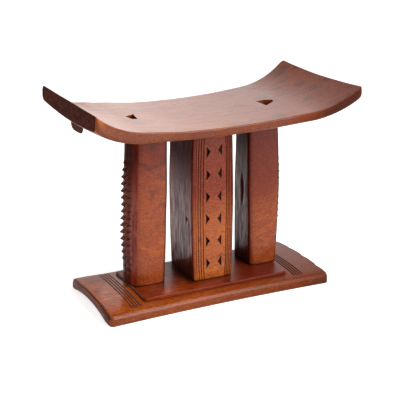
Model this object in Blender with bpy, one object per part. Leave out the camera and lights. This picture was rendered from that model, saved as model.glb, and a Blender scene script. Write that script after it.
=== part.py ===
"""A carved crescent-seated stool, in metres, +Z up, +X along the seat, standing on z = 0.

The curved seat has a triangular pit near each end and a grip lug under each end. Three
barrel-shaped columns stand on a raised plinth, which is let into the crown of an arched base.
The outer columns carry two rows of carved teeth down their outer faces, and the centre column
has fine grooves and chip-cut notches on its front and back. Tenons join the columns to the seat
and, through the plinth, to the base.
"""

import math
from dataclasses import dataclass

import bmesh
import bpy

# How the pieces meet
JOINT_GAP = 0.0003
CUT_OVERRUN = 0.004

# Base: a plank with a crowned top and an arched underside that leaves two resting strips
BASE_LENGTH = 0.508
BASE_WIDTH = 0.2255
BASE_WAIST = 0.007
BASE_SIDE_HEIGHT = 0.0185
BASE_CROWN = 0.0095
BASE_ARCH_RISE = 0.0115
BASE_FOOT_WIDTH = 0.011
BASE_CORNER_RADIUS = 0.012
BASE_SIDE_ARRIS = 0.008
BASE_END_ARRIS = 0.007
BASE_END_UNDERCUT = 0.005
BASE_FOOT_CHAMFER = 0.0015
BASE_GROOVE_COUNT = 4
BASE_GROOVE_PITCH = 0.0062
BASE_GROOVE_WIDTH = 0.0030
BASE_GROOVE_DEPTH = 0.0016
BASE_GROOVE_MARGIN = 0.013

# Plinth: a flat slab let into the crown of the base
PLINTH_LENGTH = 0.329
PLINTH_WIDTH = 0.162
PLINTH_RISE = 0.0038
PLINTH_CORNER_RADIUS = 0.007
PLINTH_ARRIS = 0.0015
HOUSING_DEPTH = 0.0070

# Seat: a saddle curve along X, waisted in plan, with a full belly underneath
SEAT_LENGTH = 0.566
SEAT_LEFT_END_WIDTH = 0.312
SEAT_RIGHT_END_WIDTH = 0.318
SEAT_WAIST_WIDTH = 0.268
SEAT_WAIST_X = -0.045
SEAT_HEIGHT = 0.380
SEAT_LEFT_SAG = 0.0580
SEAT_RIGHT_SAG = 0.0540
SEAT_RISE_TO_RIGHT = 0.0053
SEAT_RIGHT_DISH = 0.0055
SEAT_MIDDLE_RADIUS = 1.815
SEAT_BEND_START = 0.175
SEAT_EDGE_DEPTH = 0.0176
SEAT_THICKER_TO_RIGHT = 0.0010
SEAT_LEFT_END_DEPTH = 0.0290
SEAT_RIGHT_END_DEPTH = 0.0225
SEAT_BELLY = 0.008
SEAT_END_OVERHANG = 0.0025
SEAT_CORNER_RADIUS = 0.006
SEAT_ARRIS = 0.0035
SEAT_END_ARRIS = 0.002

# Triangular pits in the seat: a slanted base line on the inner side and a tip toward the end
PIT_DEPTH = 0.011
LEFT_PIT_X = -0.141
LEFT_PIT_REACH = 0.0225
LEFT_PIT_BREADTH = 0.035
LEFT_PIT_SLANT = 0.007
LEFT_PIT_TIP_SHARE = 0.19
RIGHT_PIT_X = 0.136
RIGHT_PIT_REACH = 0.0330
RIGHT_PIT_BREADTH = 0.043
RIGHT_PIT_SLANT = 0.002
RIGHT_PIT_TIP_SHARE = -0.16
PIT_BACK_CORNER_SHARE = 0.43

# Grip lugs under the ends of the seat
LUG_WIDTH = 0.043
LUG_THICKNESS = 0.009
LUG_DROP = 0.015
LUG_INSET = 0.0205
LUG_CORNER_RADIUS = 0.0115
LUG_CHAMFER = 0.002
LUG_TONGUE_WIDTH = 0.026
LUG_TONGUE_THICKNESS = 0.0045
LUG_TONGUE_LENGTH = 0.008

# What the three columns share
COLUMN_LINE_Y = 0.015
COLUMN_ARRIS = 0.0035
TENON_SHOULDER = 0.014
SEAT_TENON_LENGTH = 0.008
BASE_TENON_DEPTH = 0.004

# Outer columns, with a bowed outer face and a groove down its middle
LEFT_FOOT_X = -0.1260
LEFT_HEAD_X = -0.1149
LEFT_FOOT_WIDTH = 0.0650
LEFT_HEAD_WIDTH = 0.0633
LEFT_SWELL = 0.0018
RIGHT_FOOT_X = 0.1393
RIGHT_HEAD_X = 0.1371
RIGHT_FOOT_WIDTH = 0.0634
RIGHT_HEAD_WIDTH = 0.0648
RIGHT_INNER_SWELL = 0.0013
RIGHT_OUTER_SWELL = 0.0055
RIGHT_TURN_AT_FOOT = 0.0035
RIGHT_TURN_AT_HEAD = -0.0070
OUTER_DEPTH = 0.068
OUTER_DEPTH_SWELL = 0.003
OUTER_FACE_BOW = 0.007
OUTER_GROOVE_WIDTH = 0.003
OUTER_GROOVE_DEPTH = 0.002

# Centre column, with a bundle of fine grooves beside each front and back arris
CENTRE_X = 0.0065
CENTRE_WIDTH = 0.0855
CENTRE_SWELL = 0.0035
CENTRE_DEPTH = 0.122
CENTRE_GROOVE_COUNT = 4
CENTRE_GROOVE_PITCH = 0.0045
CENTRE_GROOVE_MARGIN = 0.0065
CENTRE_GROOVE_WIDTH = 0.0024
CENTRE_GROOVE_DEPTH = 0.0014

# Teeth: pyramids in two rows down each outer face, tallest halfway up
TOOTH_COUNT = 19
TOOTH_PITCH = 0.0144
TOOTH_FIRST_RISE = 0.0165
TOOTH_BREADTH = 0.020
TOOTH_BASE_HEIGHT = 0.0115
TOOTH_LENGTH = 0.0100
TOOTH_END_LENGTH = 0.0025
TOOTH_TIP = 0.0010
TOOTH_ROOT = 0.0025

# Notches: chip cuts in two rows down the front and back of the centre column
NOTCH_COUNT = 6
NOTCH_PITCH = 0.0483
NOTCH_FIRST_RISE = 0.036
NOTCH_HEIGHT = 0.024
NOTCH_REACH = 0.009
NOTCH_DEPTH = 0.005
NOTCH_RIM_DEPTH = 0.0006
NOTCH_SPREAD = 0.0175

# How finely curves are drawn
CORNER_STEPS = 3
END_STEPS = 4
SEAT_MIDDLE_RIBS = 13
SEAT_BEND_RIBS = 9
SEAT_ACROSS = 10
BASE_ACROSS = 11
ARCH_POINTS = 9
COLUMN_LEVELS = 8
COLUMN_FRONT_POINTS = 3
COLUMN_SIDE_POINTS = 5
LUG_SLICES = 5

# Levels that follow from the sizes above
CROWN_TOP = BASE_SIDE_HEIGHT + BASE_CROWN
PLINTH_TOP = CROWN_TOP + PLINTH_RISE
HOUSING_FLOOR = CROWN_TOP - HOUSING_DEPTH
HEAD_LEVEL = SEAT_HEIGHT - SEAT_EDGE_DEPTH - SEAT_BELLY
TENON_FOOT = HOUSING_FLOOR - BASE_TENON_DEPTH

# How rough the oiled wood is, as shares of a fully matt surface
MATT_SHARE = 0.45
SATIN_SHARE = 0.40
GLOSS_SHARE = 0.30

# Finishes: base colour and roughness of each piece
SEAT_WOOD = ((0.300, 0.085, 0.035), SATIN_SHARE)
LUG_WOOD = ((0.140, 0.035, 0.018), MATT_SHARE)
COLUMN_WOOD = ((0.270, 0.055, 0.015), SATIN_SHARE)
CENTRE_WOOD = ((0.240, 0.050, 0.014), SATIN_SHARE)
PLINTH_WOOD = ((0.250, 0.045, 0.010), GLOSS_SHARE)
BASE_WOOD = ((0.270, 0.055, 0.012), GLOSS_SHARE)


def clear_scene():
    """Removes whatever the file opened with."""
    for item in list(bpy.data.objects):
        bpy.data.objects.remove(item, do_unlink=True)


def new_collection(name):
    collection = bpy.data.collections.new(name)
    bpy.context.scene.collection.children.link(collection)
    return collection


def wood(name, colour, roughness):
    """An oiled-wood finish of one colour and one roughness."""
    material = bpy.data.materials.new(name)
    material.use_nodes = True
    shader = material.node_tree.nodes["Principled BSDF"]
    shader.inputs["Base Color"].default_value = (*colour, 1)
    shader.inputs["Roughness"].default_value = roughness
    shader.inputs["Metallic"].default_value = 0
    return material


def add_piece(name, mesh, collection, finish):
    """Adds one piece of the stool, smooth but for its sharp edges."""
    mesh.materials.append(wood(f"{name}_wood", *finish))
    mesh.shade_smooth()
    mesh.set_sharp_from_angle(angle=math.radians(35))
    piece = bpy.data.objects.new(name, mesh)
    collection.objects.link(piece)
    return piece


def add_tool(name, mesh, collection):
    """Adds a hidden shape that only cuts or joins."""
    tool = bpy.data.objects.new(name, mesh)
    collection.objects.link(tool)
    tool.hide_render = True
    tool.display_type = "WIRE"
    return tool


def combine(piece, tool, operation):
    change = piece.modifiers.new(f"{operation.lower()}_{tool.name}", "BOOLEAN")
    change.operation = operation
    change.solver = "EXACT"
    change.object = tool


def loft(name, *bodies):
    """A mesh of one or more closed bodies, each a row of rings whose points run in the same order."""
    shape = bmesh.new()
    for rings in bodies:
        rows = [[shape.verts.new(point) for point in ring] for ring in rings]
        for lower, upper in zip(rows, rows[1:]):
            for i, corner in enumerate(lower):
                j = (i + 1) % len(lower)
                shape.faces.new((corner, lower[j], upper[j], upper[i]))
        shape.faces.new(list(reversed(rows[0])))
        shape.faces.new(rows[-1])
    bmesh.ops.recalc_face_normals(shape, faces=shape.faces)
    mesh = bpy.data.meshes.new(name)
    shape.to_mesh(mesh)
    shape.free()
    return mesh


def spread(first, last, count):
    """Evenly spaced values from first to last, both included."""
    return [first + (last - first) * i / (count - 1) for i in range(count)]


def quarter_turn():
    """Sine and cosine of the turns between the two ends of a rounded corner."""
    turns = [math.pi / 2 * i / CORNER_STEPS for i in range(1, CORNER_STEPS)]
    return [(math.sin(turn), math.cos(turn)) for turn in turns]


def lost_to_rounding(place, end, radius):
    """How far a corner rounded over this radius before the end has drawn in at a place."""
    into = max(place - (end - radius), 0) / radius
    return radius * (1 - math.sqrt(max(1 - into**2, 0)))


def places_to_end(end, radius):
    """Places through a rounded corner up to the end, closer together where it turns most."""
    turns = [math.pi / 2 * i / END_STEPS for i in range(END_STEPS + 1)]
    return [end - radius * (1 - math.sin(turn)) for turn in turns]


def outline(half_width, half_depth, radius, marks=((), (), (), ())):
    """A rounded rectangle about the origin, counter-clockwise from its front left corner.

    Each side may carry marks: places along it, measured from its middle, and how far in they lie.
    """
    ring = []
    for turns, side_marks in enumerate(marks):
        run, reach = (half_depth, half_width) if turns % 2 else (half_width, half_depth)
        straight = run - radius
        points = [(-straight, 0), *side_marks, (straight, 0)]
        points += [(straight + radius * s, radius * (1 - c)) for s, c in quarter_turn()]
        for along, inward in points:
            x, y = along, inward - reach
            for _ in range(turns):
                x, y = -y, x
            ring.append((x, y))
    return ring


def groove_marks(middle, width, depth):
    """The two edges and the bottom of a V groove."""
    return [(middle - width / 2, 0), (middle, depth), (middle + width / 2, 0)]


# Seat


def by_side(x, left, right):
    """Whichever of the two values belongs to this side of the middle."""
    return left if x < 0 else right


def bend_share(x):
    """How far into the bend a place is: nothing at its start, one at the end of the seat."""
    return max(abs(x) - SEAT_BEND_START, 0) / (SEAT_LENGTH / 2 - SEAT_BEND_START)


def seat_top(x):
    """Height of the seat's top: a long shallow arc, a tighter arc tangent to it at each end, and a tilt."""
    run = abs(x)
    low = SEAT_HEIGHT + SEAT_RISE_TO_RIGHT * x / SEAT_LENGTH
    if run <= SEAT_BEND_START:
        return low + SEAT_MIDDLE_RADIUS - math.sqrt(SEAT_MIDDLE_RADIUS**2 - run**2)
    start_angle = math.asin(SEAT_BEND_START / SEAT_MIDDLE_RADIUS)
    start_rise = SEAT_MIDDLE_RADIUS * (1 - math.cos(start_angle))
    remaining = SEAT_LENGTH / 2 - SEAT_BEND_START
    climb = by_side(x, SEAT_LEFT_SAG, SEAT_RIGHT_SAG) - start_rise
    end_angle = 2 * math.atan(climb / remaining) - start_angle
    radius = remaining / (math.sin(end_angle) - math.sin(start_angle))
    angle = math.asin((run - SEAT_BEND_START) / radius + math.sin(start_angle))
    return low + start_rise + radius * (math.cos(start_angle) - math.cos(angle))


def waisted_half_width(x):
    """Half the width in plan, drawn in most at the waist, which lies a little left of the middle."""
    from_waist = x - SEAT_WAIST_X
    end_width = by_side(from_waist, SEAT_LEFT_END_WIDTH, SEAT_RIGHT_END_WIDTH)
    whole = SEAT_LENGTH / 2 + by_side(from_waist, SEAT_WAIST_X, -SEAT_WAIST_X)
    return (SEAT_WAIST_WIDTH + (end_width - SEAT_WAIST_WIDTH) * (abs(from_waist) / whole) ** 3) / 2


def seat_dish(x, y):
    """How far the right end dips between its two corners, growing along the bend."""
    across = y / waisted_half_width(x)
    return by_side(x, 0, SEAT_RIGHT_DISH) * bend_share(x) ** 2 * (1 - across**2)


def seat_half_width(x):
    """Half the width in plan, less what the rounded corners take off."""
    return waisted_half_width(x) - lost_to_rounding(abs(x), SEAT_LENGTH / 2, SEAT_CORNER_RADIUS)


def seat_end_depth(x):
    return by_side(x, SEAT_LEFT_END_DEPTH, SEAT_RIGHT_END_DEPTH)


def seat_depth(x, y):
    """Wood under the top, straight down: thin at the edges, fuller in the belly and at the ends."""
    reach = abs(x) / (SEAT_LENGTH / 2)
    middle = SEAT_EDGE_DEPTH + SEAT_THICKER_TO_RIGHT * x / SEAT_LENGTH
    edge = middle + (seat_end_depth(x) - middle) * reach**4
    return edge + SEAT_BELLY * (1 - (y / waisted_half_width(x)) ** 2)


def in_seat(x, y, depth):
    """A point at this depth below the top; past the bend, depth leans outward as the end faces do."""
    lean = SEAT_END_OVERHANG / (seat_end_depth(x) + SEAT_BELLY) * bend_share(x)
    return (x + math.copysign(lean * depth, x), y, seat_top(x) - seat_dish(x, y) - depth)


def below_seat(x, y, drop):
    """A point this far below the underside, in line with the depth there."""
    return in_seat(x, y, seat_depth(x, y) + drop)


def underside_line(x, inset=0.0):
    """Places across the belly, back to front, with the depth of the underside less an inset."""
    flat = seat_half_width(x) - SEAT_ARRIS
    return [(y, seat_depth(x, y) - inset) for y in spread(flat, -flat, SEAT_ACROSS)]


def seat_section(x):
    """One rib of the seat: flat top, rounded long edges, and the belly underneath."""
    inset = lost_to_rounding(abs(x), SEAT_LENGTH / 2, SEAT_END_ARRIS)
    radius = SEAT_ARRIS - inset
    bottom = underside_line(x, inset)
    flat, low = bottom[0]
    top = [(y, inset) for y in spread(-flat, flat, SEAT_ACROSS)]
    edge = [(flat + radius * s, inset + radius * (1 - c)) for s, c in quarter_turn()]
    edge += [(flat + radius, inset + radius), (flat + radius, low - radius)]
    edge += [(flat + radius * c, low - radius * (1 - s)) for s, c in quarter_turn()]
    ring = top + edge + bottom + [(-y, depth) for y, depth in reversed(edge)]
    return [in_seat(x, y, depth) for y, depth in ring]


def seat_ribs():
    """Where the ribs stand along X: wide apart in the middle, closer in the bends and corners."""
    end = SEAT_LENGTH / 2
    corner = places_to_end(end, SEAT_CORNER_RADIUS)
    bend = spread(SEAT_BEND_START, corner[0], SEAT_BEND_RIBS)
    right = bend[1:] + corner[1:]
    return [-x for x in reversed(right)] + spread(-bend[0], bend[0], SEAT_MIDDLE_RIBS) + right


def pit_rings(x, outward, reach, breadth, slant, tip_share):
    """A triangle sunk from the top of the seat to a floor that follows its curve."""
    corners = (
        (x, breadth * PIT_BACK_CORNER_SHARE),
        (x + outward * slant, breadth * (PIT_BACK_CORNER_SHARE - 1)),
        (x + outward * reach, breadth * tip_share),
    )
    return [[in_seat(px, py, depth) for px, py in corners] for depth in (PIT_DEPTH, -CUT_OVERRUN)]


def build_seat(parts, tools):
    seat = add_piece("seat", loft("seat", [seat_section(x) for x in seat_ribs()]), parts, SEAT_WOOD)
    left = pit_rings(
        LEFT_PIT_X, -1, LEFT_PIT_REACH, LEFT_PIT_BREADTH, LEFT_PIT_SLANT, LEFT_PIT_TIP_SHARE
    )
    right = pit_rings(
        RIGHT_PIT_X, 1, RIGHT_PIT_REACH, RIGHT_PIT_BREADTH, RIGHT_PIT_SLANT, RIGHT_PIT_TIP_SHARE
    )
    combine(seat, add_tool("pit_cutter", loft("pits", left, right), tools), "DIFFERENCE")
    return seat


def seat_block_rings():
    """The space of the seat and what lies above it, one joint gap larger underneath."""
    above = SEAT_HEIGHT + max(SEAT_LEFT_SAG, SEAT_RIGHT_SAG)
    corner = SEAT_LENGTH / 2 - SEAT_CORNER_RADIUS
    rings = []
    for x in [rib for rib in seat_ribs() if abs(rib) < corner]:
        belly = underside_line(x, -JOINT_GAP)
        ring = [in_seat(x, y, depth) for y, depth in belly]
        rings.append(ring + [(x, belly[-1][0], above), (x, belly[0][0], above)])
    return rings


# Grip lugs


def lug_slice(x, y):
    """One slice across the lug: square against the seat, with chamfered lower edges."""
    half = LUG_THICKNESS / 2
    foot = LUG_DROP - lost_to_rounding(abs(y), LUG_WIDTH / 2, LUG_CORNER_RADIUS)
    tips = (
        (-half, JOINT_GAP),
        (half, JOINT_GAP),
        (half, foot - LUG_CHAMFER),
        (half - LUG_CHAMFER, foot),
        (LUG_CHAMFER - half, foot),
        (-half, foot - LUG_CHAMFER),
    )
    return [below_seat(x + across, y, drop) for across, drop in tips]


def lug_rings(x):
    """Slices from one rounded corner of the lug to the other."""
    corner = places_to_end(LUG_WIDTH / 2, LUG_CORNER_RADIUS)
    places = [-y for y in reversed(corner[1:])] + spread(-corner[0], corner[0], LUG_SLICES) + corner[1:]
    return [lug_slice(x, y) for y in places]


def tongue_rings(x, top, bottom, spare=0.0):
    """The lug's tongue between two heights above the underside, with room to spare all round."""
    half = LUG_TONGUE_THICKNESS / 2 + spare
    side = LUG_TONGUE_WIDTH / 2 + spare
    corners = ((-half, -side), (half, -side), (half, side), (-half, side))
    return [[below_seat(x + across, y, -rise) for across, y in corners] for rise in (bottom, top)]


def build_lug(name, outward, seat, parts, tools):
    """A lug whose top fits the underside and whose tongue sits in a mortise of the seat."""
    x = outward * (SEAT_LENGTH / 2 - LUG_INSET)
    lug = add_piece(name, loft(name, lug_rings(x)), parts, LUG_WOOD)
    tongue = loft("tongue", tongue_rings(x, LUG_TONGUE_LENGTH, -LUG_DROP / 2))
    combine(lug, add_tool(f"{name}_tongue", tongue, tools), "UNION")
    mortise = loft("mortise", tongue_rings(x, LUG_TONGUE_LENGTH + JOINT_GAP, -CUT_OVERRUN, JOINT_GAP))
    combine(seat, add_tool(f"{name}_mortise_cutter", mortise, tools), "DIFFERENCE")


# Columns


@dataclass
class Side:
    """How a side face departs from a flat upright one: halfway up, halfway across, and askew."""

    swell: float
    bow: float = 0.0
    turn_at_foot: float = 0.0
    turn_at_head: float = 0.0

    def stands_out(self, across, up):
        """How far out, from across -1 at the front to 1 at the back, and from up 0 to 1."""
        turn = self.turn_at_foot + (self.turn_at_head - self.turn_at_foot) * up
        return self.swell * 4 * up * (1 - up) + self.bow * (1 - across**2) + turn / 2 * across


@dataclass
class Column:
    """A barrel-sided column with tenons at both ends; it leans if its foot and head differ in place."""

    name: str
    foot_x: float
    head_x: float
    foot_width: float
    head_width: float
    depth: float
    depth_swell: float
    left: Side
    right: Side
    marks: tuple

    def share_up(self, z):
        return (z - PLINTH_TOP) / (HEAD_LEVEL - PLINTH_TOP)

    def middle_x(self, z):
        return self.foot_x + (self.head_x - self.foot_x) * self.share_up(z)

    def half_width(self, z):
        return (self.foot_width + (self.head_width - self.foot_width) * self.share_up(z)) / 2

    def half_depth(self, z):
        up = self.share_up(z)
        return (self.depth + self.depth_swell * 4 * up * (1 - up)) / 2

    def section(self, z):
        """The outline at a level, with each side face brought out to its own shape."""
        half_depth, up = self.half_depth(z), self.share_up(z)
        ring = []
        for x, y in outline(self.half_width(z), half_depth, COLUMN_ARRIS, self.marks):
            if x < 0:
                x -= self.left.stands_out(y / half_depth, up)
            elif x > 0:
                x += self.right.stands_out(y / half_depth, up)
            ring.append((self.middle_x(z) + x, COLUMN_LINE_Y + y, z))
        return ring

    def side_point(self, outward, y, z, rise):
        """A point over the left (-1) or right (1) side face, y from the column's middle line."""
        side = self.left if outward < 0 else self.right
        out = self.half_width(z) + side.stands_out(y / self.half_depth(z), self.share_up(z)) + rise
        return (self.middle_x(z) + outward * out, COLUMN_LINE_Y + y, z)

    def tenon_top(self):
        """Level of the upper tenon's end, one tenon length above the underside."""
        return below_seat(self.head_x, COLUMN_LINE_Y, 0)[2] + SEAT_TENON_LENGTH

    def core_rings(self, spare=0.0):
        """The tenons as one bar through the column, with room to spare all round."""
        side = min(self.foot_width, self.head_width) / 2 - TENON_SHOULDER + spare
        front = self.depth / 2 - TENON_SHOULDER + spare
        corners = ((-side, -front), (side, -front), (side, front), (-side, front))
        rings = []
        for z in (TENON_FOOT - spare, self.tenon_top() + spare):
            rings.append([(self.middle_x(z) + x, COLUMN_LINE_Y + y, z) for x, y in corners])
        return rings


def outer_marks():
    """Plain points on every side of an outer column, and the V groove down both broad faces."""
    quarter = LEFT_FOOT_WIDTH / 4
    front = [(x, 0) for x in spread(-quarter, quarter, COLUMN_FRONT_POINTS)]
    run = OUTER_DEPTH / 2 - COLUMN_ARRIS
    half_side = [(y, 0) for y in spread(-run, 0, COLUMN_SIDE_POINTS)[1:-1]]
    groove = groove_marks(0, OUTER_GROOVE_WIDTH, OUTER_GROOVE_DEPTH)
    grooved = half_side + groove + [(-y, inward) for y, inward in reversed(half_side)]
    plain = half_side + [(0, 0)] + [(-y, inward) for y, inward in reversed(half_side)]
    return front, plain, grooved


def centre_marks():
    """The bundles of grooves on the front and back of the centre column, and plain sides."""
    first = CENTRE_WIDTH / 2 - CENTRE_GROOVE_MARGIN
    left = []
    for i in range(CENTRE_GROOVE_COUNT):
        middle = i * CENTRE_GROOVE_PITCH - first
        left += groove_marks(middle, CENTRE_GROOVE_WIDTH, CENTRE_GROOVE_DEPTH)
    face = left + [(0, 0)] + [(-x, inward) for x, inward in reversed(left)]
    run = CENTRE_DEPTH / 2 - COLUMN_ARRIS
    side = [(y, 0) for y in spread(-run, run, COLUMN_SIDE_POINTS + 2)[1:-1]]
    return face, side, face, side


def tooth_rings(column, outward, y, z, length):
    """One pyramid tooth: a root sunk in the outer face, a base on it, and a small blunt tip."""
    broad, tall, tip = TOOTH_BREADTH / 2, TOOTH_BASE_HEIGHT / 2, TOOTH_TIP / 2
    rings = []
    for rise, half_y, half_z in ((-TOOTH_ROOT, broad, tall), (0, broad, tall), (length, tip, tip)):
        corners = ((-half_y, -half_z), (half_y, -half_z), (half_y, half_z), (-half_y, half_z))
        rings.append([column.side_point(outward, y + dy, z + dz, rise) for dy, dz in corners])
    return rings


def teeth(column, outward):
    """Two rows of teeth beside the groove, growing from short at the ends to long in the middle."""
    row_y = (OUTER_GROOVE_WIDTH + TOOTH_BREADTH) / 2
    bodies = []
    for i in range(TOOTH_COUNT):
        z = PLINTH_TOP + TOOTH_FIRST_RISE + i * TOOTH_PITCH
        swell = math.sin(math.pi * i / (TOOTH_COUNT - 1))
        length = TOOTH_END_LENGTH + (TOOTH_LENGTH - TOOTH_END_LENGTH) * swell
        bodies += [tooth_rings(column, outward, row * row_y, z, length) for row in (-1, 1)]
    return loft("teeth", *bodies)


def notches():
    """Chip cuts on both broad faces: shallow at the outer edge, deepest at the inward tip."""
    bodies = []
    for facing in (-1, 1):
        face_y = COLUMN_LINE_Y + facing * CENTRE_DEPTH / 2
        for side in (-1, 1):
            foot_x = CENTRE_X + side * NOTCH_SPREAD
            tip_x = foot_x - side * NOTCH_REACH
            for i in range(NOTCH_COUNT):
                z = PLINTH_TOP + NOTCH_FIRST_RISE + i * NOTCH_PITCH
                half = NOTCH_HEIGHT / 2
                corners = (
                    (foot_x, z - half, NOTCH_RIM_DEPTH),
                    (foot_x, z + half, NOTCH_RIM_DEPTH),
                    (tip_x, z, NOTCH_DEPTH),
                )
                outer = [(px, face_y + facing * CUT_OVERRUN, pz) for px, pz, _ in corners]
                inner = [(px, face_y - facing * cut, pz) for px, pz, cut in corners]
                bodies.append([outer, inner])
    return loft("notches", *bodies)


def build_column(column, finish, seat, plinth, base, parts, tools):
    """Lofts the barrel, trims its head to the seat's belly, adds the tenons and cuts their mortises."""
    levels = spread(PLINTH_TOP + JOINT_GAP, HEAD_LEVEL, COLUMN_LEVELS) + [SEAT_HEIGHT]
    body = add_piece(column.name, loft(column.name, [column.section(z) for z in levels]), parts, finish)
    block = add_tool(f"{column.name}_head_cutter", loft("seat_block", seat_block_rings()), tools)
    combine(body, block, "DIFFERENCE")
    core = add_tool(f"{column.name}_tenons", loft("tenons", column.core_rings()), tools)
    combine(body, core, "UNION")
    mortise = add_tool(
        f"{column.name}_mortise_cutter", loft("mortise", column.core_rings(JOINT_GAP)), tools
    )
    for piece in (seat, plinth, base):
        combine(piece, mortise, "DIFFERENCE")
    return body


# Base and plinth


def slab_outline(length, width, radius, inset, z):
    ring = outline(length / 2 - inset, width / 2 - inset, radius - inset)
    return [(x, y, z) for x, y in ring]


def build_plinth(parts):
    """A slab with rounded corners and a softened upper edge."""
    rings = [slab_outline(PLINTH_LENGTH, PLINTH_WIDTH, PLINTH_CORNER_RADIUS, 0, HOUSING_FLOOR + JOINT_GAP)]
    for s, c in [(0, 1), *quarter_turn(), (1, 0)]:
        inset = PLINTH_ARRIS * (1 - c)
        z = PLINTH_TOP - PLINTH_ARRIS * (1 - s)
        rings.append(slab_outline(PLINTH_LENGTH, PLINTH_WIDTH, PLINTH_CORNER_RADIUS, inset, z))
    return add_piece("plinth", loft("plinth", rings), parts, PLINTH_WOOD)


def base_section(x, cut=0.0):
    """One rib of the base: a crown with rounded long edges, two resting strips and the arch."""
    end = BASE_LENGTH / 2
    lowered = lost_to_rounding(abs(x), end, BASE_END_ARRIS)
    lift = lost_to_rounding(abs(x), end, BASE_END_UNDERCUT)
    waist = BASE_WAIST * (1 - (x / end) ** 2)
    half = BASE_WIDTH / 2 - waist - lost_to_rounding(abs(x), end, BASE_CORNER_RADIUS) - lowered
    edge = places_to_end(half, BASE_SIDE_ARRIS)
    ring = []
    for y in [*reversed(edge[1:]), *spread(edge[0], -edge[0], BASE_ACROSS), *(-place for place in edge[1:])]:
        crown = BASE_SIDE_HEIGHT + BASE_CROWN * math.sqrt(max(1 - (y / half) ** 2, 0))
        arris = lost_to_rounding(abs(y), half, BASE_SIDE_ARRIS)
        groove = cut if abs(y) < edge[-2] else 0
        ring.append((y, (crown - arris) * (1 - lowered / CROWN_TOP) - groove))
    foot = [(half, lift + BASE_FOOT_CHAMFER), (half - BASE_FOOT_CHAMFER, lift)]
    ring += [(-y, z) for y, z in foot]
    arch = half - BASE_FOOT_WIDTH
    ring += [(y, lift + BASE_ARCH_RISE * (1 - (y / arch) ** 2)) for y in spread(-arch, arch, ARCH_POINTS)]
    ring += list(reversed(foot))
    return [(x, y, z) for y, z in ring]


def base_ribs():
    """Places along X with how deep the crown is cut there, one groove edge or bottom at a time."""
    right = [(0, 0)]
    for i in range(BASE_GROOVE_COUNT):
        middle = PLINTH_LENGTH / 2 + BASE_GROOVE_MARGIN + i * BASE_GROOVE_PITCH
        right += groove_marks(middle, BASE_GROOVE_WIDTH, BASE_GROOVE_DEPTH)
    right += [(x, 0) for x in places_to_end(BASE_LENGTH / 2, BASE_CORNER_RADIUS)]
    return [(-x, cut) for x, cut in reversed(right[1:])] + right


def build_base(parts, tools):
    """The base plank, with a flat housing in its crown for the plinth."""
    rings = [base_section(x, cut) for x, cut in base_ribs()]
    base = add_piece("base", loft("base", rings), parts, BASE_WOOD)
    housing = [
        slab_outline(PLINTH_LENGTH, PLINTH_WIDTH, PLINTH_CORNER_RADIUS, -JOINT_GAP, z)
        for z in (HOUSING_FLOOR, CROWN_TOP + CUT_OVERRUN)
    ]
    combine(base, add_tool("housing_cutter", loft("housing", housing), tools), "DIFFERENCE")
    return base


def left_column():
    front, plain, grooved = outer_marks()
    return Column(
        "left_column", LEFT_FOOT_X, LEFT_HEAD_X, LEFT_FOOT_WIDTH, LEFT_HEAD_WIDTH,
        OUTER_DEPTH, OUTER_DEPTH_SWELL,
        Side(LEFT_SWELL, OUTER_FACE_BOW), Side(LEFT_SWELL),
        (front, plain, front, grooved),
    )


def centre_column():
    return Column(
        "centre_column", CENTRE_X, CENTRE_X, CENTRE_WIDTH, CENTRE_WIDTH,
        CENTRE_DEPTH, 0,
        Side(CENTRE_SWELL), Side(CENTRE_SWELL),
        centre_marks(),
    )


def right_column():
    front, plain, grooved = outer_marks()
    return Column(
        "right_column", RIGHT_FOOT_X, RIGHT_HEAD_X, RIGHT_FOOT_WIDTH, RIGHT_HEAD_WIDTH,
        OUTER_DEPTH, OUTER_DEPTH_SWELL,
        Side(RIGHT_INNER_SWELL, 0, RIGHT_TURN_AT_FOOT, RIGHT_TURN_AT_HEAD),
        Side(RIGHT_OUTER_SWELL, OUTER_FACE_BOW),
        (front, grooved, front, plain),
    )


def main():
    clear_scene()
    parts = new_collection("ashanti_stool")
    tools = new_collection("cutters")
    seat = build_seat(parts, tools)
    build_lug("left_grip_lug", -1, seat, parts, tools)
    build_lug("right_grip_lug", 1, seat, parts, tools)
    base = build_base(parts, tools)
    plinth = build_plinth(parts)
    frame = (seat, plinth, base, parts, tools)
    left = build_column(left_column(), COLUMN_WOOD, *frame)
    combine(left, add_tool("left_teeth", teeth(left_column(), -1), tools), "UNION")
    centre = build_column(centre_column(), CENTRE_WOOD, *frame)
    combine(centre, add_tool("notch_cutter", notches(), tools), "DIFFERENCE")
    right = build_column(right_column(), COLUMN_WOOD, *frame)
    combine(right, add_tool("right_teeth", teeth(right_column(), 1), tools), "UNION")


if __name__ == "__main__":
    main()
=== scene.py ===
"""The looks of a carved crescent-seated stool: finely drawn surfaces in stained and waxed wood.

Lengths are in metres, +X runs along the seat, +Y from the front to the back and +Z up. The stool
is carved from one block whose grain runs along X, so faces that look along X are end grain. Each
piece is a grid of points worked out as whole arrays, and it replaces the plain solid of its name.
"""

from __future__ import annotations

import logging
import math
from dataclasses import dataclass, field
from enum import Enum, IntEnum
from typing import Any, Iterable, Sequence

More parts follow.
